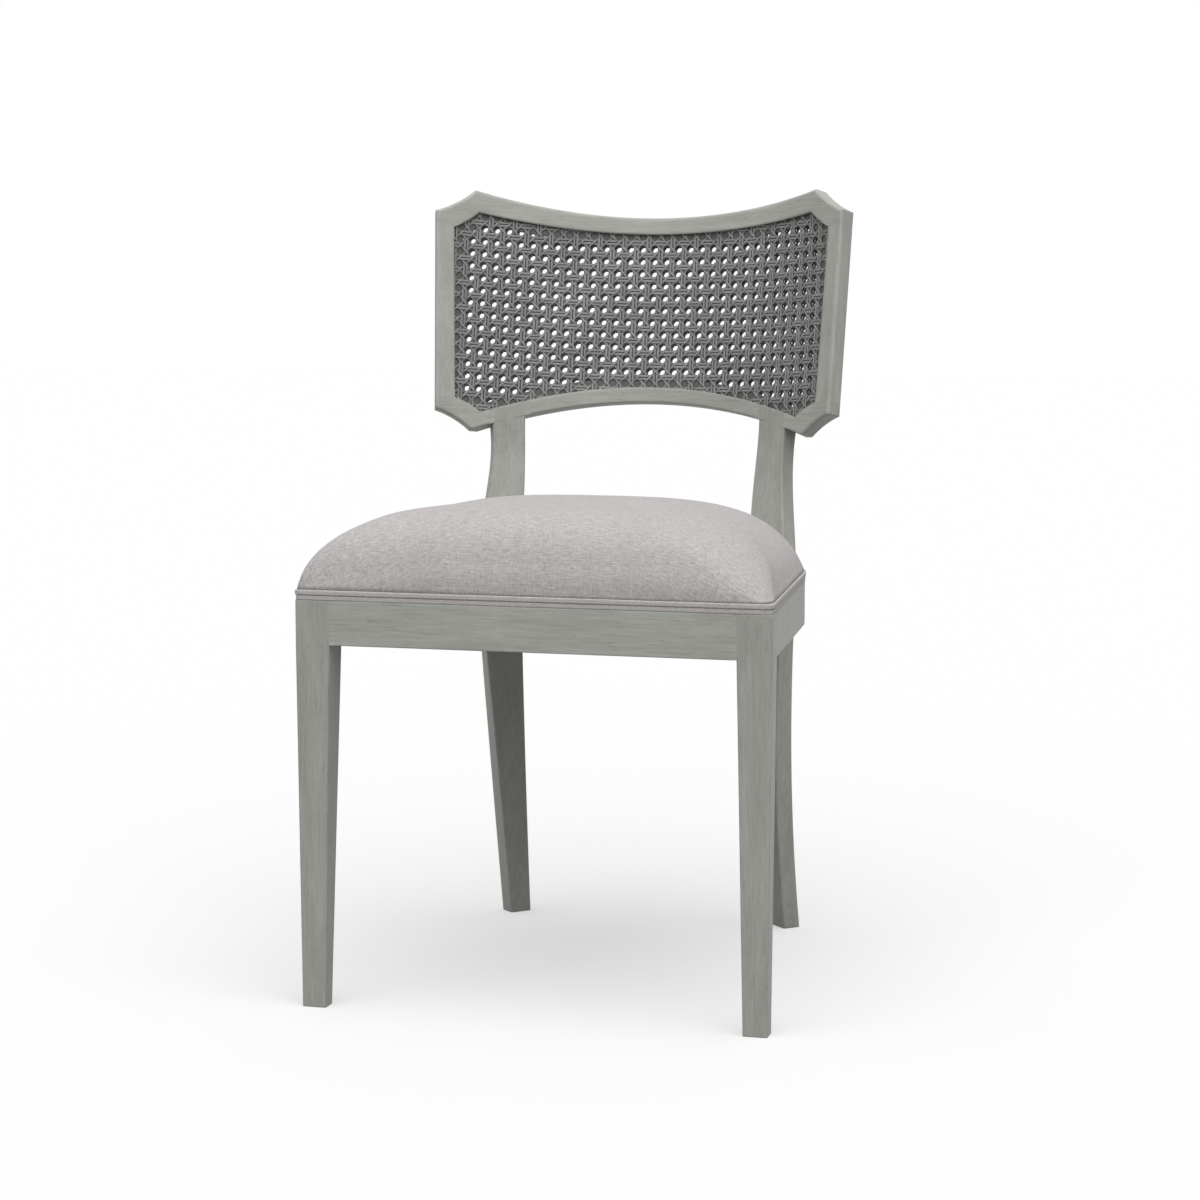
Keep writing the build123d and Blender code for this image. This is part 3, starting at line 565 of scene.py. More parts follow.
@dataclass(frozen=True)
class Wood:
    """A wooden finish: painted so thinly that the grain shows, or bare."""

    name: str
    grain: Grain
    tone: Triple = (0.348, 0.354, 0.322)
    under: Triple = (0.30, 0.215, 0.13)
    contrast: float = 1.2
    softness: float = 0.0022
    rub: float = 0.55
    relief: float = 0.00012
    mottle: float = 0.14
    shine: float = 0.35
    curve: BackCurve = BackCurve()
    seams: tuple[Seam, ...] = ()
    # Painted shade: colour factors below and above those heights, darkening parts that get less
    # light.
    painted_shade: Pair = (1.0, 1.0)

    def open(self, surface: Surface) -> object:
        """Return 0 beside the joints that the paint hides and 1 elsewhere.

        Args:
            surface: The material's wiring.

        Returns:
            The mask.
        """
        if not self.seams:
            return 1.0
        if self.seams is BACK_SEAMS:
            up, distance, along = surface.split(self.curve.along(surface))
            parts = (abs(along), distance, up)
        else:
            x, y, z = surface.split(surface.place)
            parts = (abs(x), y, z)
        mask: object = 1.0
        for seam in self.seams:
            mask = seam.open(surface, parts) * mask
        return mask

    def place(self, surface: Surface) -> Value:
        """Return a place whose Z runs along the grain.

        Args:
            surface: The material's wiring.

        Returns:
            The place.
        """
        if self.grain is Grain.CURVED:
            return self.curve.along(surface)
        x, y, z = surface.split(surface.place)
        ways = {Grain.ACROSS: (y, z, x), Grain.DEPTH: (z, x, y), Grain.UPRIGHT: (x, y, z)}
        return surface.join(*ways[self.grain])

    def material(self) -> bpy.types.Material:
        """Build the finish.

        Returns:
            The new material.
        """
        surface = Surface(self.name)
        grain = GrainEffect().placed(
            surface, Place=self.place(surface), Tone=rgba(self.tone), Contrast=self.contrast
        )
        edge = EdgeEffect().placed(
            surface, Place=surface.place, Softness=self.softness, Rub=self.rub,
            Open=self.open(surface),
        )
        mottle = MottleEffect().placed(surface, Place=surface.place, Depth=self.mottle)
        height = surface.split(surface.place)[2]
        colour = surface.shade(grain["Color"], mottle["Shade"])
        # Painted shade: darken the colour by height, standing in for less light on some parts.
        colour = surface.shade(colour, surface.between(height, *PAINTED_SHADE_HEIGHTS, *self.painted_shade))
        return surface.finish({
            "Base Color": surface.blend(edge["Worn"], colour, rgba(self.under)),
            "Roughness": grain["Roughness"],
            "Specular IOR Level": self.shine,
            "Normal": surface.bump(grain["Height"], self.relief, Normal=edge["Normal"]),
        })


@dataclass(frozen=True)
class CaneFinish:
    """Grey painted cane: each strand has its own tone, with fine lines along it."""

    name: str = "painted_cane"
    tone: Triple = (0.205, 0.205, 0.203)
    spread: float = 0.25
    mottle: float = 0.5
    streaks: Noise = even_noise(900.0, 2.0)
    streak_depth: float = 0.6
    # Painted shade and painted light: the colour goes from the first shade on strands' sides and
    # low strands to the second on the highest.
    levels: Pair = (-1.1, 1.0)
    painted_depth_shades: Pair = (0.42, 1.12)
    rear_facing: Pair = (0.2, 0.6)
    gloss: Quad = (0.3, 0.7, 0.4, 0.6)
    relief: float = 0.0001

    def material(self) -> bpy.types.Material:
        """Build the finish, with painted shade low in the weave and painted light on its highest
        strands, and plain on the side to the back.

        Returns:
            The new material.
        """
        surface = Surface(self.name)
        geometry = surface.add("ShaderNodeNewGeometry")
        own = (geometry["Random Per Island"] - MIDDLE) * self.spread + 1.0
        mottle = MottleEffect().placed(surface, Place=surface.place, Depth=self.mottle)
        streak = surface.noise(surface.place, self.streaks)
        shade = own * mottle["Shade"] + (streak - MIDDLE) * self.streak_depth
        raised = surface.add("ShaderNodeAttribute", attribute_name="raised")["Fac"]
        # Painted shade on the strands' sides and low strands, painted light on the highest; faces
        # to the back are left at full tone.
        level = surface.between(raised, *self.levels, *self.painted_depth_shades)
        rearward = surface.split(geometry["True Normal"])[1]
        rearward = surface.between(rearward, *self.rear_facing)
        shade = shade * surface.math("MAXIMUM", level, rearward)
        return surface.finish({
            "Base Color": surface.shade(self.tone, shade),
            "Roughness": surface.between(streak, *self.gloss),
            "Specular IOR Level": 0.4,
            "Normal": surface.bump(streak, self.relief),
        })


@dataclass(frozen=True)
class ClothFinish:
    """Woven cloth laid by its "lay" attribute, whose X and Y run across and along the cloth."""

    name: str
    tone: Triple = (0.452, 0.428, 0.425)
    thread: float = 0.0012
    slub: float = 1.0
    relief: float = 0.0003
    mottle: float = 0.1
    gloss: Quad = (0.0, 1.2, 0.95, 0.8)

    def material(self) -> bpy.types.Material:
        """Build the finish.

        Returns:
            The new material.
        """
        surface = Surface(self.name)
        lay = surface.add("ShaderNodeAttribute", attribute_name="lay")["Vector"]
        weave = WeaveEffect().placed(surface, Place=lay, Thread=self.thread, Slub=self.slub)
        mottle = MottleEffect().placed(surface, Place=surface.place, Depth=self.mottle)
        return surface.finish({
            "Base Color": surface.shade(self.tone, weave["Shade"] * mottle["Shade"]),
            "Roughness": surface.between(weave["Height"], *self.gloss),
            "Specular IOR Level": 0.2,
            "Sheen Weight": 0.12,
            "Sheen Roughness": 0.5,
            "Normal": surface.bump(weave["Height"], self.relief),
        })


@dataclass(frozen=True)
class ZincFinish:
    """Zinc plated steel, slightly clouded."""

    name: str = "zinc_steel"
    tone: Triple = (0.56, 0.57, 0.58)
    mottle: float = 0.4
    gloss: Quad = (0.85, 1.15, 0.5, 0.3)

    def material(self) -> bpy.types.Material:
        """Build the finish.

        Returns:
            The new material.
        """
        surface = Surface(self.name)
        mottle = MottleEffect().placed(surface, Place=surface.place, Depth=self.mottle)
        return surface.finish({
            "Base Color": surface.shade(self.tone, mottle["Shade"]),
            "Roughness": surface.between(mottle["Shade"], *self.gloss),
            "Metallic": 1.0,
        })


# Mesh helpers


def strip(low: Sequence[int], high: Sequence[int]) -> Faces:
    """Faces between two closed rings of as many vertices each.

    Args:
        low: One ring's vertices by number.
        high: The other's.

    Returns:
        The faces.
    """
    pairs = list(zip(low, high))
    following = pairs[1:] + pairs[:1]
    return [(here, after, above, over) for (here, over), (after, above) in zip(pairs, following)]


def fan(ring: Sequence[int], middle: int) -> Faces:
    """Faces from a closed ring of vertices to one vertex within it."""
    return [(after, here, middle) for here, after in zip(ring, [*ring[1:], ring[0]])]


def add_object(
    name: str, points: np.ndarray, faces: Faces, material: bpy.types.Material
) -> bpy.types.Object:
    """Make a mesh object.

    Args:
        name: The object's name.
        points: Its vertices, one row each.
        faces: Each face's vertices by number.
        material: Its finish.

    Returns:
        The new object.
    """
    mesh = bpy.data.meshes.new(name)
    mesh.from_pydata([tuple(point) for point in points], [], faces)
    mesh.materials.append(material)
    made = bpy.data.objects.new(name, mesh)
    bpy.context.scene.collection.objects.link(made)
    return made


def add_piece(
    name: str, points: np.ndarray, faces: Faces, material: bpy.types.Material
) -> bpy.types.Object:
    """Make a smooth mesh object that moves with the chair.

    Args:
        name: The piece's name.
        points: Its vertices, one row each.
        faces: Each face's vertices by number.
        material: Its finish.

    Returns:
        The new piece.
    """
    piece = add_object(name, points, faces, material)
    piece.data.polygons.foreach_set("use_smooth", [True] * len(faces))
    piece.data.update()
    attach(piece, "root")
    log.info("%s: %d vertices", name, len(points))
    return piece


def set_lay(piece: bpy.types.Object, lay: np.ndarray) -> None:
    """Store where each vertex lies on the flat cloth, for the weave."""
    attribute = piece.data.attributes.new("lay", "FLOAT_VECTOR", "POINT")
    attribute.data.foreach_set("vector", lay.astype(np.float32).ravel())


def vertex_places(mesh: bpy.types.Mesh) -> np.ndarray:
    """The mesh's vertices, one row each.

    Args:
        mesh: The mesh.

    Returns:
        The vertices' places.
    """
    places = np.zeros(len(mesh.vertices) * 3)
    mesh.vertices.foreach_get("co", places)
    return places.reshape(-1, 3)


def dress(frame: dict, finish: bpy.types.Material, *nodes: str) -> None:
    """Give pieces of the construction a finish.

    Args:
        frame: The loaded construction.
        finish: The finish.
        nodes: The pieces' names.
    """
    for name in nodes:
        piece = frame["nodes"][name]
        if not piece.material_slots:
            piece.data.materials.append(finish)
        for slot in piece.material_slots:
            slot.material = finish
        log.info("%s: %s", name, finish.name)


# Seat


@dataclass(frozen=True)
class SeatShape:
    """The seat's outline in plan, as its maker would set it out."""

    half_width: float = 0.250
    depth: float = 0.446
    taper: float = math.radians(5.3)
    rear_corner: float = 0.160
    rear_arc: float = 0.348
    fine: int = 60
    straight: float = 1e-7

    def rear_centre(self) -> np.ndarray:
        """Centre of the right rear corner's arc.

        Returns:
            The centre's X and Y.
        """
        arc_y = self.depth - self.rear_arc
        start_x = self.half_width - self.rear_corner * math.cos(self.taper)
        start_y = -self.rear_corner * math.sin(self.taper) - arc_y
        run = start_y * math.cos(self.taper) - start_x * math.sin(self.taper)
        gap = self.rear_arc - self.rear_corner
        length = -run + math.sqrt(run**2 - start_x**2 - start_y**2 + gap**2)
        way = np.array([-math.sin(self.taper), math.cos(self.taper)])
        return np.array([start_x, start_y + arc_y]) + way * length

    def right_edges(self, inset: float, front_corner: float) -> np.ndarray:
        """The right front corner, the right side and the right rear corner, three points each.

        Args:
            inset: How far inside the frame's faces the outline lies.
            front_corner: Radius of the front corner.

        Returns:
            The points, by edge, point and coordinate.
        """
        normal = np.array([math.cos(self.taper), math.sin(self.taper)])
        side = np.array([self.half_width, 0.0]) - inset * normal
        corner_y = inset + front_corner
        corner_x = (side @ normal - front_corner - normal[1] * corner_y) / normal[0]
        ahead = np.array([0.0, -1.0])
        arc_middle = np.array([0.0, self.depth - self.rear_arc])
        outwards = (self.rear_centre() - arc_middle) / (self.rear_arc - self.rear_corner)

        def arc(centre: np.ndarray, radius: float, first: np.ndarray, last: np.ndarray) -> list:
            """The start, middle and end of an arc between two directions."""
            halfway = (first + last) / np.hypot(*(first + last))
            return [centre + radius * way for way in (first, halfway, last)]

        front = arc(np.array([corner_x, corner_y]), front_corner, ahead, normal)
        rear = arc(self.rear_centre(), self.rear_corner - inset, normal, outwards)
        return np.array([front, [front[2], (front[2] + rear[0]) / 2, rear[0]], rear])

    def edges(self, inset: float, corners: Pair) -> np.ndarray:
        """The outline as eight edges of three points each, anticlockwise from the front.

        Args:
            inset: How far inside the frame's faces the outline lies.
            corners: Radius of the left and of the right front corner.

        Returns:
            The points, by edge, point and coordinate.
        """
        mirrored, right = (self.right_edges(inset, corner) for corner in corners)
        left = mirrored[::-1, ::-1] * (-1, 1)
        front = np.array([left[2, 2], (0.0, inset), right[0, 0]])
        back = np.array([right[2, 2], (0.0, self.depth - inset), left[0, 0]])
        return np.stack([front, *right, back, *left]) + (0.0, seat_front_y())

    def outline(self, inset: float, corners: Pair) -> np.ndarray:
        """Points all round the seat, evenly along eight edges, each a line or an arc.

        Args:
            inset: How far inside the frame's faces the outline lies.
            corners: Radius of the left and of the right front corner.

        Returns:
            The points, one row each, all the way round.
        """
        rows = []
        share = np.arange(self.fine)[:, None] / self.fine
        for start, middle, end in self.edges(inset, corners):
            (ax, ay), (bx, by) = middle - start, end - start
            cross = 2 * (ax * by - ay * bx)
            if abs(cross) < self.straight:
                rows.append(start + share * (end - start))
                continue
            a2, b2 = ax**2 + ay**2, bx**2 + by**2
            centre = start + np.array([by * a2 - ay * b2, ax * b2 - bx * a2]) / cross
            arms = [point - centre for point in (start, middle, end)]
            turns = np.unwrap([math.atan2(y, x) for x, y in arms])
            turn = turns[0] + share[:, 0] * (turns[2] - turns[0])
            rows.append(centre + np.hypot(*arms[0]) * np.stack([np.cos(turn), np.sin(turn)], -1))
        return np.concatenate(rows)


@dataclass
class SeatPad:
    """The upholstery: crowned cushion, double welt and lining.

    Corner sizes are for the left and the right front corner. The crown's powers and rounds are for
    the ways to the front, to the sides and to the rear. A welt's place is its inset from the
    frame's face and its height.
    """

    shape: SeatShape = SeatShape()
    seam_height: float = 0.437
    crown_height: float = 0.0797
    crown_inset: float = 0.0012
    pad_corners: Pair = (0.002, 0.015)
    corner_growth: Pair = (0.050, 0.1)
    corner_power: Pair = (1.6, 0.95)
    centre_share: float = 0.412
    powers: Triple = (7.63, 3.84, 3.22)
    rounds: Triple = (2.49, 1.67, 1.37)
    slope_samples: int = 240
    slope_crowding: int = 4
    band: tuple[Pair, ...] = ((0.987, 0.4364), (0.978, 0.4345), (0.977, 0.4266))
    net: int = 72
    net_corners: tuple[float, ...] = (1.5, 3.5, 5.5, 7.5, 9.5)
    lay_reach: float = 0.1
    lay_turn: Pair = (0.35, 0.3)
    held_height: float = 0.003
    pressure: float = 4.0
    moments: int = 20
    swell_cap: float = 0.0015
    welt_corners: Pair = (0.0015, 0.0085)
    welt_diameter: float = 0.0053
    welt_square: float = 9.0
    welt_sides: int = 24
    welt_swing: float = 0.02
    welt_swings: tuple[Triple, ...] = ((97.0, 0.0, 0.5), (231.0, 1.0, 0.3))
    lower_welt: Pair = (0.0024, 0.42865)
    upper_welt: Pair = (0.0017, 0.43395)
    lining_corners: Pair = (0.006, 0.006)
    lining_height: float = 0.4256
    lining_inset: float = 0.0245
    lining_sag: float = 0.0006
    lining_rings: int = 13
    leg_size: Pair = (0.0373, 0.0391)
    leg_side: float = 0.009
    cloth: ClothFinish = ClothFinish("seat_weave")
    cord: ClothFinish = ClothFinish("welt_weave", (0.425, 0.403, 0.398), 0.0011, 0.6, 0.00015)
    under: ClothFinish = ClothFinish("lining_cloth", (0.012, 0.012, 0.013), 0.0009, 0.5, 0.0001)
    board: Wood = Wood(
        "plywood", Grain.ACROSS, (0.52, 0.37, 0.21), (0.4, 0.28, 0.16), 0.9, 0.0008, 0.2
    )

    def centre(self) -> np.ndarray:
        """The point that the crown rises about."""
        return np.array([0.0, seat_front_y() + self.shape.depth * self.centre_share])

    def crown_ring(self, level: float) -> np.ndarray:
        """The outline, drawn in and rounder in front, where the crown has a share of its height.

        Args:
            level: The share of the height.

        Returns:
            The ring's points.
        """
        left, right = (
            start + growth * level**power
            for start, growth, power in zip(self.pad_corners, self.corner_growth, self.corner_power)
        )
        arm = self.shape.outline(self.crown_inset, (left, right)) - self.centre()
        lean = arm[:, 1] / np.hypot(arm[:, 0], arm[:, 1])
        rearward, forward = np.clip(lean, 0, None) ** 2, np.clip(-lean, 0, None) ** 2
        ways = np.stack([forward, 1 - rearward - forward, rearward], -1)
        power, roundness = ways @ self.powers, ways @ self.rounds
        share = (1 - level**roundness) ** (1 / power)
        height = self.seam_height + self.crown_height * level
        return np.c_[self.centre() + arm * share[:, None], np.full(len(arm), height)]

    def slopes(self) -> np.ndarray:
        """The crown from its middle to the seam, every way round, in even steps.

        Returns:
            The points, by step, way and coordinate.
        """
        levels = 1 - np.linspace(0.0, 1.0, self.slope_samples) ** self.slope_crowding
        lines = np.array([self.crown_ring(level) for level in levels])
        steps = np.linalg.norm(np.diff(lines, axis=0), axis=2)
        runs = np.vstack([np.zeros(lines.shape[1]), np.cumsum(steps, axis=0)])
        even = np.zeros((self.net + 1, lines.shape[1], 3))
        for way in range(lines.shape[1]):
            marks = np.linspace(0.0, runs[-1, way], self.net + 1)
            for axis in range(3):
                even[:, way, axis] = np.interp(marks, runs[:, way], lines[:, way, axis])
        return even

    def cushion_start(self) -> tuple[np.ndarray, Faces]:
        """Points and faces of the form that swells: a square net over the crown, closed below.

        Returns:
            The points, one row each, and each face's vertices by number.
        """
        half, slopes = self.net, self.slopes()
        marks = np.array(self.net_corners) * self.shape.fine
        points = np.zeros(((2 * half + 1) ** 2, 3))

        def number(column: int, row: int) -> int:
            """The vertex at a column and row of the net."""
            return (row + half) * (2 * half + 1) + column + half

        points[number(0, 0)] = slopes[0, 0]
        for size in range(1, half + 1):
            ring = slopes[size]
            place = np.interp(np.arange(8 * size) / (2 * size), np.arange(5), marks) % len(ring)
            first = place.astype(int)
            part = (place - first)[:, None]
            spots = ring[first] * (1 - part) + ring[(first + 1) % len(ring)] * part
            side = range(-size, size)
            walk = [(column, -size) for column in side] + [(size, row) for row in side]
            walk += [(-column, size) for column in side] + [(-size, -row) for row in side]
            rim = [number(column, row) for column, row in walk]
            points[rim] = spots
        faces = [
            (number(column, row), number(column + 1, row),
             number(column + 1, row + 1), number(column, row + 1))
            for row in range(-half, half) for column in range(-half, half)
        ]
        rims, edge = [rim], points[rim, :2] - self.centre()
        for share, height in self.band:
            rims.append([len(points) + index for index in range(len(rim))])
            foot = np.c_[self.centre() + edge * share, np.full(len(rim), height)]
            points = np.vstack([points, foot])
        for high, low in zip(rims, rims[1:]):
            faces += strip(low, high)
        faces += fan(rims[-1], len(points))
        return np.vstack([points, [*self.centre(), self.band[-1][1]]]), faces

    def cushion_lay(self, places: np.ndarray) -> np.ndarray:
        """Where each point of the cushion lies on the flat cloth.

        Args:
            places: The cushion's vertices.

        Returns:
            The cloth's own X and Y, and zero, one row each.
        """
        drop = self.seam_height + self.crown_height - places[:, 2]
        offset = places[:, :2] - self.centre()
        sideways, lengthways = np.clip(offset / self.lay_reach, -1, 1).T
        reach = np.abs(offset)
        share = reach[:, 1] / (reach.sum(1) + 1e-6)
        steep = np.clip((share - self.lay_turn[0]) / self.lay_turn[1], 0, 1)
        across = offset[:, 0] + sideways * drop * (1 - steep)
        along = offset[:, 1] + lengthways * drop * steep
        return np.c_[across, along, np.zeros(len(places))]

    def swell(self, cushion: bpy.types.Object) -> None:
        """Fill the cushion with air as cloth, with seam and foot held and its motion capped.

        Args:
            cushion: The cushion, still as it starts.
        """
        start = vertex_places(cushion.data)
        held = cushion.vertex_groups.new(name="held")
        low = np.nonzero(start[:, 2] < self.seam_height + self.held_height)[0]
        held.add([int(index) for index in low], 1.0, "REPLACE")
        cloth = cushion.modifiers.new("cloth", "CLOTH")
        cloth.settings.use_pressure = True
        cloth.settings.uniform_pressure_force = self.pressure
        cloth.settings.vertex_group_mass = "held"
        cloth.settings.effector_weights.gravity = 0.0
        cloth.settings.quality = 4
        cloth.point_cache.frame_start = 1
        cloth.point_cache.frame_end = self.moments
        for moment in range(1, self.moments + 1):
            bpy.context.scene.frame_set(moment)
        swollen = cushion.evaluated_get(bpy.context.evaluated_depsgraph_get())
        motion = vertex_places(swollen.data) - start
        length = np.linalg.norm(motion, axis=1, keepdims=True)
        capped = motion * np.minimum(1.0, self.swell_cap / np.maximum(length, 1e-9))
        cushion.modifiers.clear()
        bpy.context.scene.frame_set(1)
        cushion.data.vertices.foreach_set("co", (start + capped).ravel())
        cushion.data.update()

    def build_cushion(self) -> None:
        """Build the crowned cushion in its cover."""
        cushion = add_piece("cushion", *self.cushion_start(), self.cloth.material())
        self.swell(cushion)
        set_lay(cushion, self.cushion_lay(vertex_places(cushion.data)))
        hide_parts("seat_cover", "seat_foam")

    def build_welt(self, name: str, node: str, place: Pair, cord: bpy.types.Material) -> None:
        """Build one cord of the double welt.

        Args:
            name: The piece's name.
            node: The plain cord that it stands for.
            place: The cord's inset from the frame's face, and its height.
            cord: The cord's finish.
        """
        inset, height = place
        path = self.shape.outline(inset, self.welt_corners)
        ahead = np.roll(path, -1, axis=0) - np.roll(path, 1, axis=0)
        outward = np.c_[ahead[:, 1], -ahead[:, 0]] / np.hypot(*ahead.T)[:, None]
        run = np.r_[0.0, np.cumsum(np.hypot(*np.diff(path, axis=0).T))]
        swing = sum(np.sin(run * rate + start) * depth for rate, start, depth in self.welt_swings)
        points, lay, square = [], [], self.welt_square
        for turn in np.arange(self.welt_sides) * 2 * math.pi / self.welt_sides:
            flat = (abs(math.cos(turn)) ** square + abs(math.sin(turn)) ** square) ** (-1 / square)
            radius = self.welt_diameter / 2 * flat * (1 + self.welt_swing * swing)
            out = np.cos(turn) * radius
            points.append(np.c_[path + outward * out[:, None], height + np.sin(turn) * radius])
            girth = turn * self.welt_diameter / 2
            bias = np.c_[run + girth, girth - run, np.zeros(len(run))]
            lay.append(bias * DIAGONAL)
        count, faces = len(path), []
        rings = [range(side * count, (side + 1) * count) for side in range(self.welt_sides)]
        for low, high in zip(rings, rings[1:] + rings[:1]):
            faces += strip(low, high)
        welt = add_piece(name, np.concatenate(points), faces, cord)
        set_lay(welt, np.concatenate(lay))
        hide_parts(node)

    def build_lining(self) -> None:
        """Build the lining cloth stretched under the seat, cut out round the front legs."""
        ring = self.shape.outline(self.lining_inset, self.lining_corners)
        leg_x = self.shape.half_width - self.leg_size[0]
        leg_y = seat_front_y() + self.leg_size[1]
        for index in np.nonzero((np.abs(ring[:, 0]) > leg_x) & (ring[:, 1] < leg_y))[0]:
            x, y = ring[index]
            beside = abs(x) < leg_x + self.leg_side
            ring[index] = (math.copysign(leg_x, x), y) if beside else (x, leg_y)
        middle, count = self.centre(), len(ring)
        points, faces = [], []
        for step in range(self.lining_rings):
            share = 1.0 - step / self.lining_rings
            level = self.lining_height - self.lining_sag * (1 - share**2)
            points.append(np.c_[middle + (ring - middle) * share, np.full(count, level)])
            if step:
                outer = range(step * count - 1, (step - 1) * count - 1, -1)
                faces += strip(outer, [index + count for index in outer])
        last = range((self.lining_rings - 1) * count, self.lining_rings * count)
        faces += fan(last, last.stop)
        points = np.vstack([*points, [*middle, self.lining_height - self.lining_sag]])
        lining = add_piece("lining", points, faces, self.under.material())
        set_lay(lining, points * (1.0, 1.0, 0.0))
        turned = np.roll(ring, -1, axis=0)
        area = abs(np.sum(ring[:, 0] * turned[:, 1] - turned[:, 0] * ring[:, 1])) / 2
        size = ring.max(0) - ring.min(0)
        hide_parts("dust_cover")

    def build(self, frame: dict) -> None:
        """Build every soft piece of the seat and finish its board.

        Args:
            frame: The loaded construction.
        """
        cord = self.cord.material()
        self.build_cushion()
        self.build_welt("welt_under", "welt_lower", self.lower_welt, cord)
        self.build_welt("welt_over", "welt_upper", self.upper_welt, cord)
        self.build_lining()
        dress(frame, self.board.material(), "seat_deck")


# Back


@dataclass(frozen=True)
class Opening:
    """The back's sight opening, as half arcs along the front face and heights up the slope."""

    top_tip: Pair = (0.2055, 0.1312)
    side_top: Pair = (0.2355, 0.1120)
    side_bottom: Pair = (0.2250, -0.0828)
    low_tip: Pair = (0.1934, -0.0978)
    top_middle: float = 0.1158
    low_middle: float = -0.0607
    ends_from: float = 0.2
    end_turn: float = BACK_HALF_ARC / BACK_RADIUS * END_TURN_SHARE

    def holds(
        self, arc: np.ndarray, up: np.ndarray, growth: float, curve: BackCurve
    ) -> np.ndarray:
        """Whether places lie inside the opening, made larger all round.

        Args:
            arc: Distances along the front face from its middle.
            up: Heights up the slope.
            growth: How much larger the opening is taken.
            curve: The back's curve.

        Returns:
            True where a place lies inside.
        """
        reach = np.abs(arc)
        x = curve.radius * np.sin(reach / curve.radius)

        def run(value: np.ndarray, first: Pair, last: Pair) -> np.ndarray:
            """A straight line through two points."""
            share = (value - first[0]) / (last[0] - first[0])
            return first[1] + share * (last[1] - first[1])

        def edge(tip: Pair, middle: float, side: Pair) -> np.ndarray:
            """A bow from the middle to a tip, and a line on to the side.

            Args:
                tip: The bow's end.
                middle: The bow's height in the middle.
                side: The line's end.

            Returns:
                The edge's height at every place.
            """
            half = curve.radius * math.sin(tip[0] / curve.radius)
            sag = middle - tip[1]
            radius = (half**2 + sag**2) / (2 * abs(sag))
            lift = radius - np.sqrt(np.maximum(radius**2 - x**2, 0))
            bow = middle - math.copysign(1.0, sag) * lift
            return np.where(reach < tip[0], bow, run(reach, tip, side))

        top = edge(self.top_tip, self.top_middle, self.side_top)
        low = edge(self.low_tip, self.low_middle, self.side_bottom)
        side = run(up, self.side_bottom[::-1], self.side_top[::-1])
        return (up < top + growth) & (up > low - growth) & (reach < side + growth)


@dataclass(frozen=True)
class Strand:
    """A strand's middle line on the flat cane: places across and up, and how far each is forward.

    Its way is its direction on the flat cane.
    """

    x: np.ndarray
    z: np.ndarray
    lift: np.ndarray
    way: Pair
    width: float

    def part(self, start: int, end: int) -> "Strand":
        """The strand between two of its places."""
        x, z, lift = (row[start:end] for row in (self.x, self.z, self.lift))
        return replace(self, x=x, z=z, lift=lift)


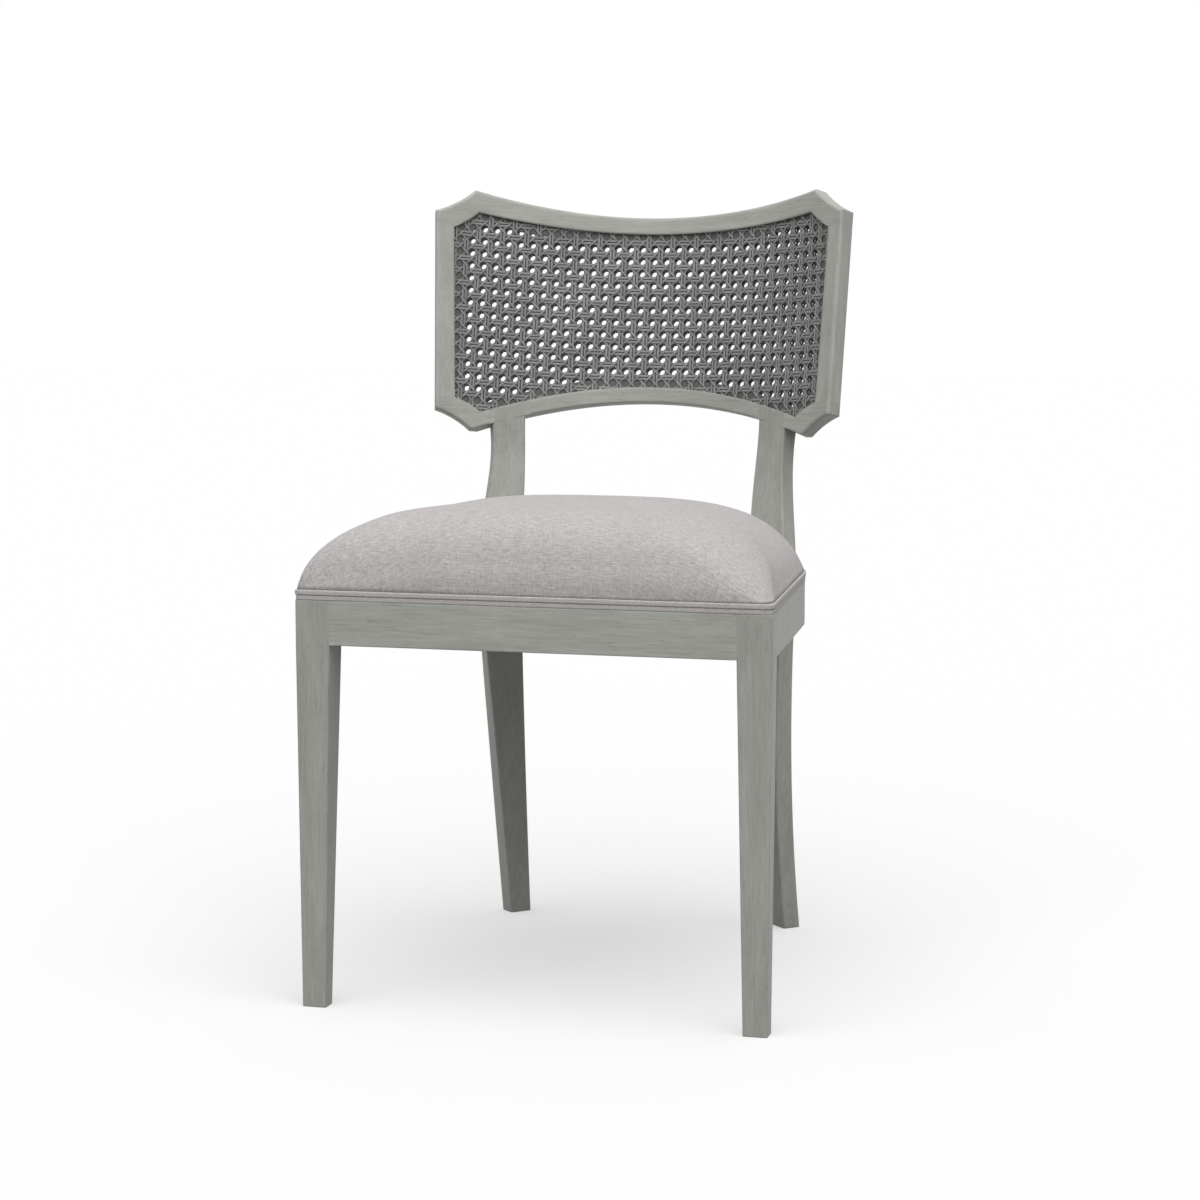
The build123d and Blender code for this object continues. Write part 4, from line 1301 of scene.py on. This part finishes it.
@dataclass
class CanePanel:
    """One layer of machine woven cane: pairs of strands up and across, and diagonals both ways.

    Its growth is how far it runs on past the opening, its shift how far it lies off the middle,
    and its draw how much it is stretched towards the right end. Its play is how far the strands'
    places and widths vary. A strand's section gives places across it and outwards, in shares of
    its width and thickness.
    """

    name: str
    node: str
    radius: float
    growth: float
    seed: int
    shift: Pair = (0.0, 0.0)
    right_draw: float = 0.0
    curve: BackCurve = BackCurve()
    opening: Opening = Opening()
    pitch: float = 0.01414
    column_arc: float = 0.014217
    steps: int = 6
    spans: tuple[Pair, Pair] = ((-0.26, 0.26), (-0.13, 0.16))
    columns: tuple[int, int] = (-19, 19)
    rows: tuple[int, int] = (-10, 11)
    diagonals: tuple[int, int] = (-29, 30)
    pair_offset: float = 0.00174
    strand_width: float = 0.0031
    diagonal_width: float = 0.0026
    strand_thickness: float = 0.0004
    section: tuple[Pair, ...] = ((-0.5, -0.15), (-0.27, 0.5), (0.27, 0.5), (0.5, -0.15))
    pair_wave: float = 0.00024
    diagonal_wave: float = 0.0004
    play: Triple = (0.00007, 0.0001, 0.04)
    points: list[np.ndarray] = field(default_factory=list)
    levels: list[np.ndarray] = field(default_factory=list)
    faces: Faces = field(default_factory=list)
    count: int = 0

    def front_arc(self, angle: np.ndarray) -> np.ndarray:
        """Where the way cut through the rail to a place in this layer meets the front face.

        Args:
            angle: The places' angles round the back's axis.

        Returns:
            Distances along the front face.
        """
        at_end = np.abs(angle) * self.curve.radius > self.opening.ends_from
        turn = np.where(at_end, np.sign(angle) * self.opening.end_turn, 0.0)
        slant = np.clip(self.radius * np.sin(angle - turn) / self.curve.radius, -1, 1)
        return self.curve.radius * (turn + np.arcsin(slant))

    def angle(self, x: np.ndarray) -> np.ndarray:
        """The angle round the back's axis of a place on the flat cane."""
        drawn = self.right_draw * np.maximum(x, 0.0) ** 2
        return (x / self.pitch * self.column_arc + self.shift[0] + drawn) / self.radius

    def add_strand(self, strand: Strand) -> None:
        """Add a strand where the opening holds it.

        Args:
            strand: The strand, right across the back.
        """
        arc = self.front_arc(self.angle(strand.x))
        inside = self.opening.holds(arc, strand.z + self.shift[1], self.growth, self.curve)
        edges = np.flatnonzero(np.diff(np.r_[0, inside.astype(int), 0]))
        for start, end in zip(edges[::2], edges[1::2]):
            if end - start > 1:
                self.add_ribbon(strand.part(start, end))

    def add_ribbon(self, strand: Strand) -> None:
        """Add a strand's body: flat behind and rounded in front.

        Args:
            strand: The strand, as long as it is.
        """
        rows, levels = [], []
        for across, out in self.section:
            side_x = strand.x + across * strand.width * strand.way[1]
            side_z = strand.z - across * strand.width * strand.way[0] + self.shift[1]
            radius = self.radius - strand.lift - out * self.strand_thickness
            rows.append(self.curve.places(self.angle(side_x), radius, side_z))
            levels.append(strand.lift / self.diagonal_wave + 2 * out - 1)
        sides = len(self.section)
        self.points.append(np.stack(rows, 1).reshape(-1, 3))
        self.levels.append(np.stack(levels, 1).ravel())
        rings = [
            range(self.count + index * sides, self.count + (index + 1) * sides)
            for index in range(len(strand.x))
        ]
        for low, high in zip(rings, rings[1:]):
            self.faces += strip(low, high)
        self.faces += [tuple(reversed(rings[0])), tuple(rings[-1])]
        self.count += len(strand.x) * sides

    def weave(self) -> None:
        """Add every strand, in one order, with small changes of place and width by chance."""
        chance = np.random.default_rng(self.seed)
        pitch, (place_play, diagonal_play, width_play) = self.pitch, self.play
        across, up = (np.arange(*span, pitch / self.steps) for span in self.spans)

        def pairs(numbers: tuple[int, int]) -> list[tuple[float, float, float]]:
            """Place, side of the wave and width of each strand of the pairs in one direction.

            Args:
                numbers: The first pair's number, and the one after the last's.

            Returns:
                A place, a wave's height with its sign, and a width for each strand.
            """
            made = []
            for index in range(*numbers):
                for side in (-1, 1):
                    at = (index + 0.5) * pitch + side * self.pair_offset
                    at += chance.normal(0, place_play)
                    width = self.strand_width * (1 + chance.normal(0, width_play))
                    made.append((at, (-1) ** index * self.pair_wave, width))
            return made

        for x, wave, width in pairs(self.columns):
            lift = wave * np.sin(math.pi * up / pitch)
            self.add_strand(Strand(np.full(len(up), x), up, lift, (0.0, 1.0), width))
        for z, wave, width in pairs(self.rows):
            lift = -wave * np.sin(math.pi * across / pitch)
            self.add_strand(Strand(across, np.full(len(across), z), lift, (1.0, 0.0), width))
        for slope in (-1, 1):
            lift = slope * self.diagonal_wave * np.cos(2 * math.pi * across / pitch)
            for index in range(*self.diagonals):
                z = slope * across + (index + 0.5) * pitch + chance.normal(0, diagonal_play)
                width = self.diagonal_width * (1 + chance.normal(0, width_play))
                self.add_strand(Strand(across, z, lift, (DIAGONAL, slope * DIAGONAL), width))

    def build(self, material: bpy.types.Material) -> None:
        """Weave the layer and make it a piece with that finish.

        Args:
            material: The finish.
        """
        self.weave()
        panel = add_piece(self.name, np.concatenate(self.points), self.faces, material)
        raised = panel.data.attributes.new("raised", "FLOAT", "POINT")
        raised.data.foreach_set("value", np.concatenate(self.levels).astype(np.float32))
        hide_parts(self.node)


@dataclass
class BackFrame:
    """The painted back frame and the cane in it."""

    tone: Triple = (0.36, 0.366, 0.334)
    # Painted shadow: the near black strip behind the cane's edge stands in for the shade under the
    # frame's lip.
    backing_shadow_tone: Triple = (0.085, 0.086, 0.08)
    front_cane: CanePanel = field(default_factory=lambda: CanePanel(
        "cane_weave_front", "cane_front", 0.3458, 0.006, 11, (-0.00025, 0.0003)
    ))
    rear_cane: CanePanel = field(default_factory=lambda: CanePanel(
        "cane_weave_rear", "cane_rear", 0.3514, 0.004, 12, (0.00045, -0.0014), 0.078
    ))

    def painted(self, name: str, grain: Grain, low_shade: float) -> bpy.types.Material:
        """The frame's paint, for pieces that are lighter or darker than the legs, each with its own
        painted shade.

        Args:
            name: The finish's name.
            grain: Which way the grain runs.
            low_shade: The painted shade, a factor on the colour, at the back's height.

        Returns:
            The finish.
        """
        return Wood(
            name, grain, self.tone, softness=0.004, rub=0.1, seams=BACK_SEAMS,
            painted_shade=(1.0, low_shade),
        ).material()

    def build(self, frame: dict) -> None:
        """Finish the frame's rails and weave both layers of cane.

        Args:
            frame: The loaded construction.
        """
        # Painted shade: the crest, arch, ears and stiles are darkened each by its own factor, as if
        # each got a different amount of light.
        crest = self.painted("paint_crest", Grain.CURVED, 0.92)
        arch = self.painted("paint_arch", Grain.CURVED, 0.79)
        ear = self.painted("paint_ear", Grain.CURVED, 0.9)
        stile = self.painted("paint_stile", Grain.UPRIGHT, 0.96)
        dress(frame, crest, "crest_rail", "cane_bead_top")
        dress(frame, arch, "back_arch_rail", "cane_bead_bottom")
        dress(frame, ear, "back_ear_left", "back_ear_right")
        dress(frame, stile, "back_stile_left", "back_stile_right")
        dress(frame, stile, "cane_bead_left", "cane_bead_right")
        # Painted shadow: the cane spacer is made near black, for the shade seen through the holes
        # along the cane's edge.
        backing = Wood("backing_strip", Grain.UPRIGHT, self.backing_shadow_tone, contrast=0.5, rub=0.0)
        dress(frame, backing.material(), "cane_spacer")
        cane = CaneFinish().material()
        self.front_cane.build(cane)
        self.rear_cane.build(cane)


# Frame and fixings


@dataclass
class SeatFrame:
    """The painted rails and front legs, and the bare blocks and dowels inside."""

    # The last factors of each paint are painted shade: darker legs, more so low down, and darker
    # rails and side rails, as if they got less light.
    legs: Wood = Wood(
        "paint_front_leg", Grain.UPRIGHT, rub=0.9, seams=SEAT_SEAMS, painted_shade=(0.86, 0.93)
    )
    rails: Wood = Wood(
        "paint_front_rail", Grain.ACROSS, rub=0.3, seams=SEAT_SEAMS, painted_shade=(0.93, 0.93)
    )
    sides: Wood = Wood(
        "paint_side_rail", Grain.DEPTH, rub=0.3, seams=SEAT_SEAMS, painted_shade=(0.9, 0.9)
    )
    bare: Wood = Wood(
        "bare_wood", Grain.ACROSS, (0.5, 0.35, 0.2), (0.4, 0.28, 0.16), 1.0, 0.0008, 0.2
    )

    def build(self, frame: dict) -> None:
        """Finish the pieces of the seat's frame.

        Args:
            frame: The loaded construction.
        """
        dress(frame, self.legs.material(), "front_leg_left", "front_leg_right")
        dress(frame, self.rails.material(), "front_rail", "rear_rail")
        dress(frame, self.sides.material(), "side_rail_left", "side_rail_right")
        dress(frame, self.bare.material(), "front_corner_block_left", "front_corner_block_right",
              "rear_corner_block_left", "rear_corner_block_right", "seat_frame_dowels",
              "back_frame_dowels")


@dataclass
class RearLegs:
    """The two rear legs, each one piece up to the back frame."""

    # The last factors are painted shade: the rear legs are painted darker above the seat, as if
    # less light reached them there.
    paint: Wood = Wood(
        "paint_rear_leg", Grain.UPRIGHT, softness=0.003, rub=0.6, seams=BACK_SEAMS,
        painted_shade=(0.98, 0.83),
    )

    def build(self, frame: dict) -> None:
        """Finish the rear legs."""
        dress(frame, self.paint.material(), "rear_leg_left", "rear_leg_right")


@dataclass
class Fixings:
    """Screws and bolts."""

    metal: ZincFinish = ZincFinish()

    def build(self, frame: dict) -> None:
        """Finish the metal pieces."""
        dress(frame, self.metal.material(), "corner_block_screws", "rear_leg_bolts", "deck_screws")


# Surroundings


def seen_directly(wiring: Wiring) -> Value:
    """Return 1 for what the camera sees, also by reflection or through glass.

    Args:
        wiring: The wiring of the world or of a material.

    Returns:
        The mask.
    """
    path = wiring.add("ShaderNodeLightPath")
    seen = wiring.math("MAXIMUM", path["Is Camera Ray"], path["Is Glossy Ray"])
    return wiring.math("MAXIMUM", seen, path["Is Transmission Ray"])


@dataclass(frozen=True)
class Studio:
    """Camera, plain light and pale floor."""

    lens: float = 92.38
    sensor: float = 36.0
    camera_place: Triple = (0.86742, -2.94280, 0.80084)
    forward: Triple = (-0.2585, 0.9587, -0.1189)
    right: Triple = (0.9655, 0.2603, 0.0)
    sun_towards: Triple = (0.16, -0.46, 0.88)
    sun_strength: float = 3.16
    sun_spread: float = math.radians(75)
    sky: float = 0.5
    floor_tone: Triple = (0.72, 0.72, 0.72)
    bounce_tone: Triple = (0.2, 0.2, 0.2)
    floor_lift: float = 0.45
    floor_reach: float = 14.0
    floor_cells: int = 28

    def add_camera(self) -> None:
        """Place the camera."""
        data = bpy.data.cameras.new("view")
        data.lens, data.sensor_width = self.lens, self.sensor
        camera = bpy.data.objects.new("view", data)
        bpy.context.scene.collection.objects.link(camera)
        forward = Vector(self.forward).normalized()
        right = (Vector(self.right) - Vector(self.right).dot(forward) * forward).normalized()
        turn = Matrix((right, right.cross(forward), -forward)).transposed().to_4x4()
        place = Vector(self.camera_place) + Vector((0.0, seat_front_y(), 0.0))
        camera.matrix_world = Matrix.Translation(place) @ turn
        bpy.context.scene.camera = camera

    def add_light(self) -> None:
        """Add one wide soft light and an even sky."""
        data = bpy.data.lights.new("window", "SUN")
        data.energy, data.angle = self.sun_strength, self.sun_spread
        lamp = bpy.data.objects.new("window", data)
        lamp.rotation_mode = "QUATERNION"
        lamp.rotation_quaternion = Vector(self.sun_towards).to_track_quat("Z", "Y")
        bpy.context.scene.collection.objects.link(lamp)
        world = bpy.data.worlds.new("sky")
        world.use_nodes = True
        bpy.context.scene.world = world
        world.node_tree.nodes.clear()
        wiring = Wiring(world.node_tree)
        strength = seen_directly(wiring) * (1.0 - self.sky) + self.sky
        sky = wiring.add("ShaderNodeBackground", {"Color": WHITE, "Strength": strength})
        wiring.add("ShaderNodeOutputWorld", {"Surface": sky[0]})

    def add_floor(self) -> None:
        """Add the pale floor, which keeps the chair's shadow."""
        side = self.floor_cells + 1
        marks = np.linspace(-self.floor_reach, self.floor_reach, side)
        faces = [
            (start, start + 1, start + 1 + side, start + side)
            for row in range(self.floor_cells)
            for start in range(row * side, row * side + self.floor_cells)
        ]
        material = bpy.data.materials.new("pale_floor")
        material.use_nodes = True
        material.node_tree.nodes.clear()
        wiring = Wiring(material.node_tree)
        seen = seen_directly(wiring)
        tone = wiring.blend(seen, rgba(self.bounce_tone), rgba(self.floor_tone))
        matt = wiring.add("ShaderNodeBsdfDiffuse", {"Color": tone})[0]
        pale = wiring.add("ShaderNodeEmission", {"Color": WHITE, "Strength": 1.0})[0]
        feeds = {0: seen * self.floor_lift, 1: matt, 2: pale}
        both = wiring.add("ShaderNodeMixShader", feeds)[0]
        wiring.add("ShaderNodeOutputMaterial", {"Surface": both})
        grid = np.array([(x, y, 0.0) for y in marks for x in marks])
        add_object("floor", grid, faces, material)

    def build(self) -> None:
        """Set up the surroundings."""
        bpy.context.scene.view_settings.view_transform = "Standard"
        self.add_camera()
        self.add_light()
        self.add_floor()
        log.info("studio: camera, light and floor")


def corners(box: tuple[Vector, Vector]) -> list[list[float]]:
    """A box's two corners as plain numbers."""
    return [[round(value, 5) for value in corner] for corner in box]


def main() -> None:
    """Load the construction, then build and dress each part of the chair."""
    logging.basicConfig(level=logging.INFO, format="%(name)s %(message)s")
    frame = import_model()
    Studio().build()
    for part in (SeatFrame(), RearLegs(), BackFrame(), SeatPad(), Fixings()):
        part.build(frame)
        log.info("%s done", type(part).__name__)


if __name__ == "__main__":
    main()
